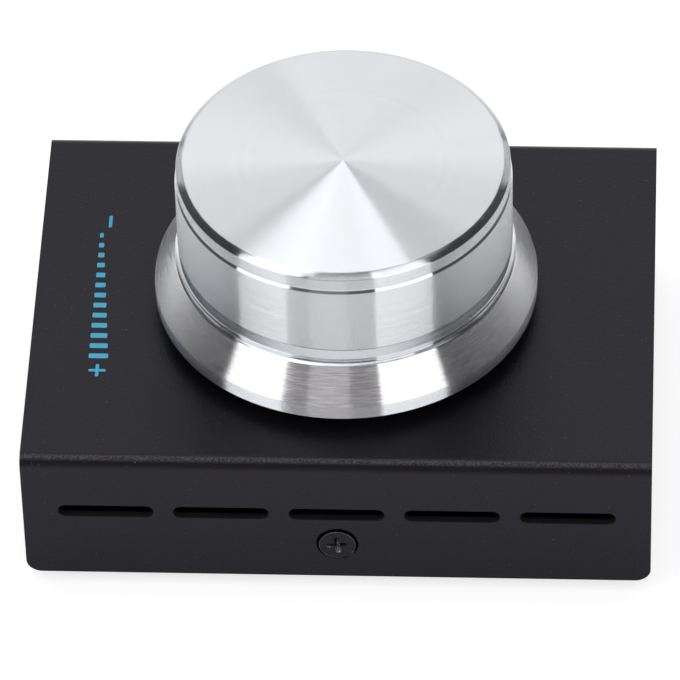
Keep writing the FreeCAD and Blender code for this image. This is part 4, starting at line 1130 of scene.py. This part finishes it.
# %% Paint the world
ROOM_BELOW, ROOM_ABOVE = (0.125, 0.12, 0.128, 1), (0.05, 0.05, 0.053, 1)
ABOVE_FROM = 0.5                 # how high the room has its upper colour

world = bpy.data.worlds.new("studio")
bpy.context.scene.world = world
world.use_nodes = True
tree = world.node_tree
direction = add_node(tree, "TexCoord").outputs["Generated"]
split = add_node(tree, "SeparateXYZ")
tree.links.new(direction, split.inputs[0])
sky = add_node(tree, "ValToRGB")
below, above = sky.color_ramp.elements
below.position, below.color = 0.0, ROOM_BELOW
above.position, above.color = ABOVE_FROM, ROOM_ABOVE
tree.links.new(split.outputs["Z"], sky.inputs[0])
tree.links.new(sky.outputs[0], tree.nodes["Background"].inputs["Color"])
print("world painted")

# %% [markdown]
# ### The floor
# The floor is a sheet of white paper. Its matt part takes the object's shadow, and a glow makes
# it white for the camera, which asks nothing of the lamps. Metal and clear things see the glow
# too, darker next to the box, which keeps the light off.

# %% Lay the floor
FLOOR_SIZE = 12
CAMERA_GLOW = 1.08               # how much brighter the camera sees the glow
SHADE_REACH, SHADE_DEEPEST = 0.03, 0.45  # metres from the box, and the light left beside it

clear_selection()
bpy.ops.mesh.primitive_plane_add(size=FLOOR_SIZE, location=(0, 0, 0))
floor = bpy.context.object
floor.name = floor.data.name = "studio_floor"
paper = bpy.data.materials.new("white_paper")
paper.use_nodes = True
tree = paper.node_tree
tree.nodes.remove(tree.nodes["Principled BSDF"])
matt = add_node(tree, "BsdfDiffuse")
glow = add_node(tree, "Emission", Color=(1, 1, 1, 1))
path = add_node(tree, "LightPath")
foot = add_node(tree, "SeparateXYZ")
tree.links.new(add_node(tree, "TexCoord").outputs["Object"], foot.inputs[0])

beside = math_node(tree, "MAXIMUM", *(
    math_node(tree, "SUBTRACT", math_node(tree, "ABSOLUTE", foot.outputs[way]), half)
    for way, half in (("X", cover_high.x), ("Y", cover_high.y))))
close = map_range(tree, beside, 0, SHADE_REACH, SHADE_DEEPEST, 1)
seen = math_node(tree, "MAXIMUM", math_node(
    tree, "MULTIPLY", path.outputs["Is Camera Ray"], CAMERA_GLOW), math_node(
    tree, "MAXIMUM", math_node(tree, "MULTIPLY", path.outputs["Is Glossy Ray"], close),
    path.outputs["Is Transmission Ray"]))
print("floor laid, its shade ends", SHADE_REACH / MM, "mm from the box")

# %% [markdown]
# ### Where the sheet ends
# The sheet isn't endless in what metal sees: some way from the knob it fades into the dark room,
# and behind the dark stands the foot of the sweep. Those dark parts draw the dark bands on the
# knob, next to the bright ones of the lamps.

# %% End the sheet and finish the paper
PAPER, GLOW = 0.55, 0.66                 # the matt part of the paper, and its glow
SHEET_END = (0.19, 0.34)                 # metres from the knob, between which it fades
BEHIND_SCALE = 0.5                       # behind the knob it reaches twice as far
SWEEP_FOOT, SWEEP_DARKNESS = (0.45, 0.6), 0.35   # metres behind, and the dark left there

behind = math_node(tree, "MULTIPLY", foot.outputs["Y"], BEHIND_SCALE)
along = math_node(tree, "MAXIMUM", behind, math_node(tree, "MULTIPLY", foot.outputs["Y"], -1.0))
away = math_node(tree, "SQRT", math_node(
    tree, "ADD", math_node(tree, "MULTIPLY", foot.outputs["X"], foot.outputs["X"]),
    math_node(tree, "MULTIPLY", along, along)))
beyond = math_node(tree, "MULTIPLY", path.outputs["Is Glossy Ray"],
                   map_range(tree, away, *SHEET_END, 0, 1))
beyond = math_node(tree, "MULTIPLY", beyond,
                   map_range(tree, foot.outputs["Y"], *SWEEP_FOOT, 1, SWEEP_DARKNESS))
on_sheet = math_node(tree, "SUBTRACT", 1.0, beyond)

tree.links.new(math_node(tree, "MULTIPLY", math_node(tree, "MULTIPLY", seen, GLOW), on_sheet),
               glow.inputs["Strength"])
tree.links.new(math_node(tree, "MULTIPLY", on_sheet, PAPER), matt.inputs["Color"])
both = add_node(tree, "AddShader")
tree.links.new(matt.outputs[0], both.inputs[0])
tree.links.new(glow.outputs[0], both.inputs[1])
tree.links.new(both.outputs[0], tree.nodes["Material Output"].inputs["Surface"])
floor.data.materials.append(paper)
print("paper finished:", len(tree.nodes), "nodes")
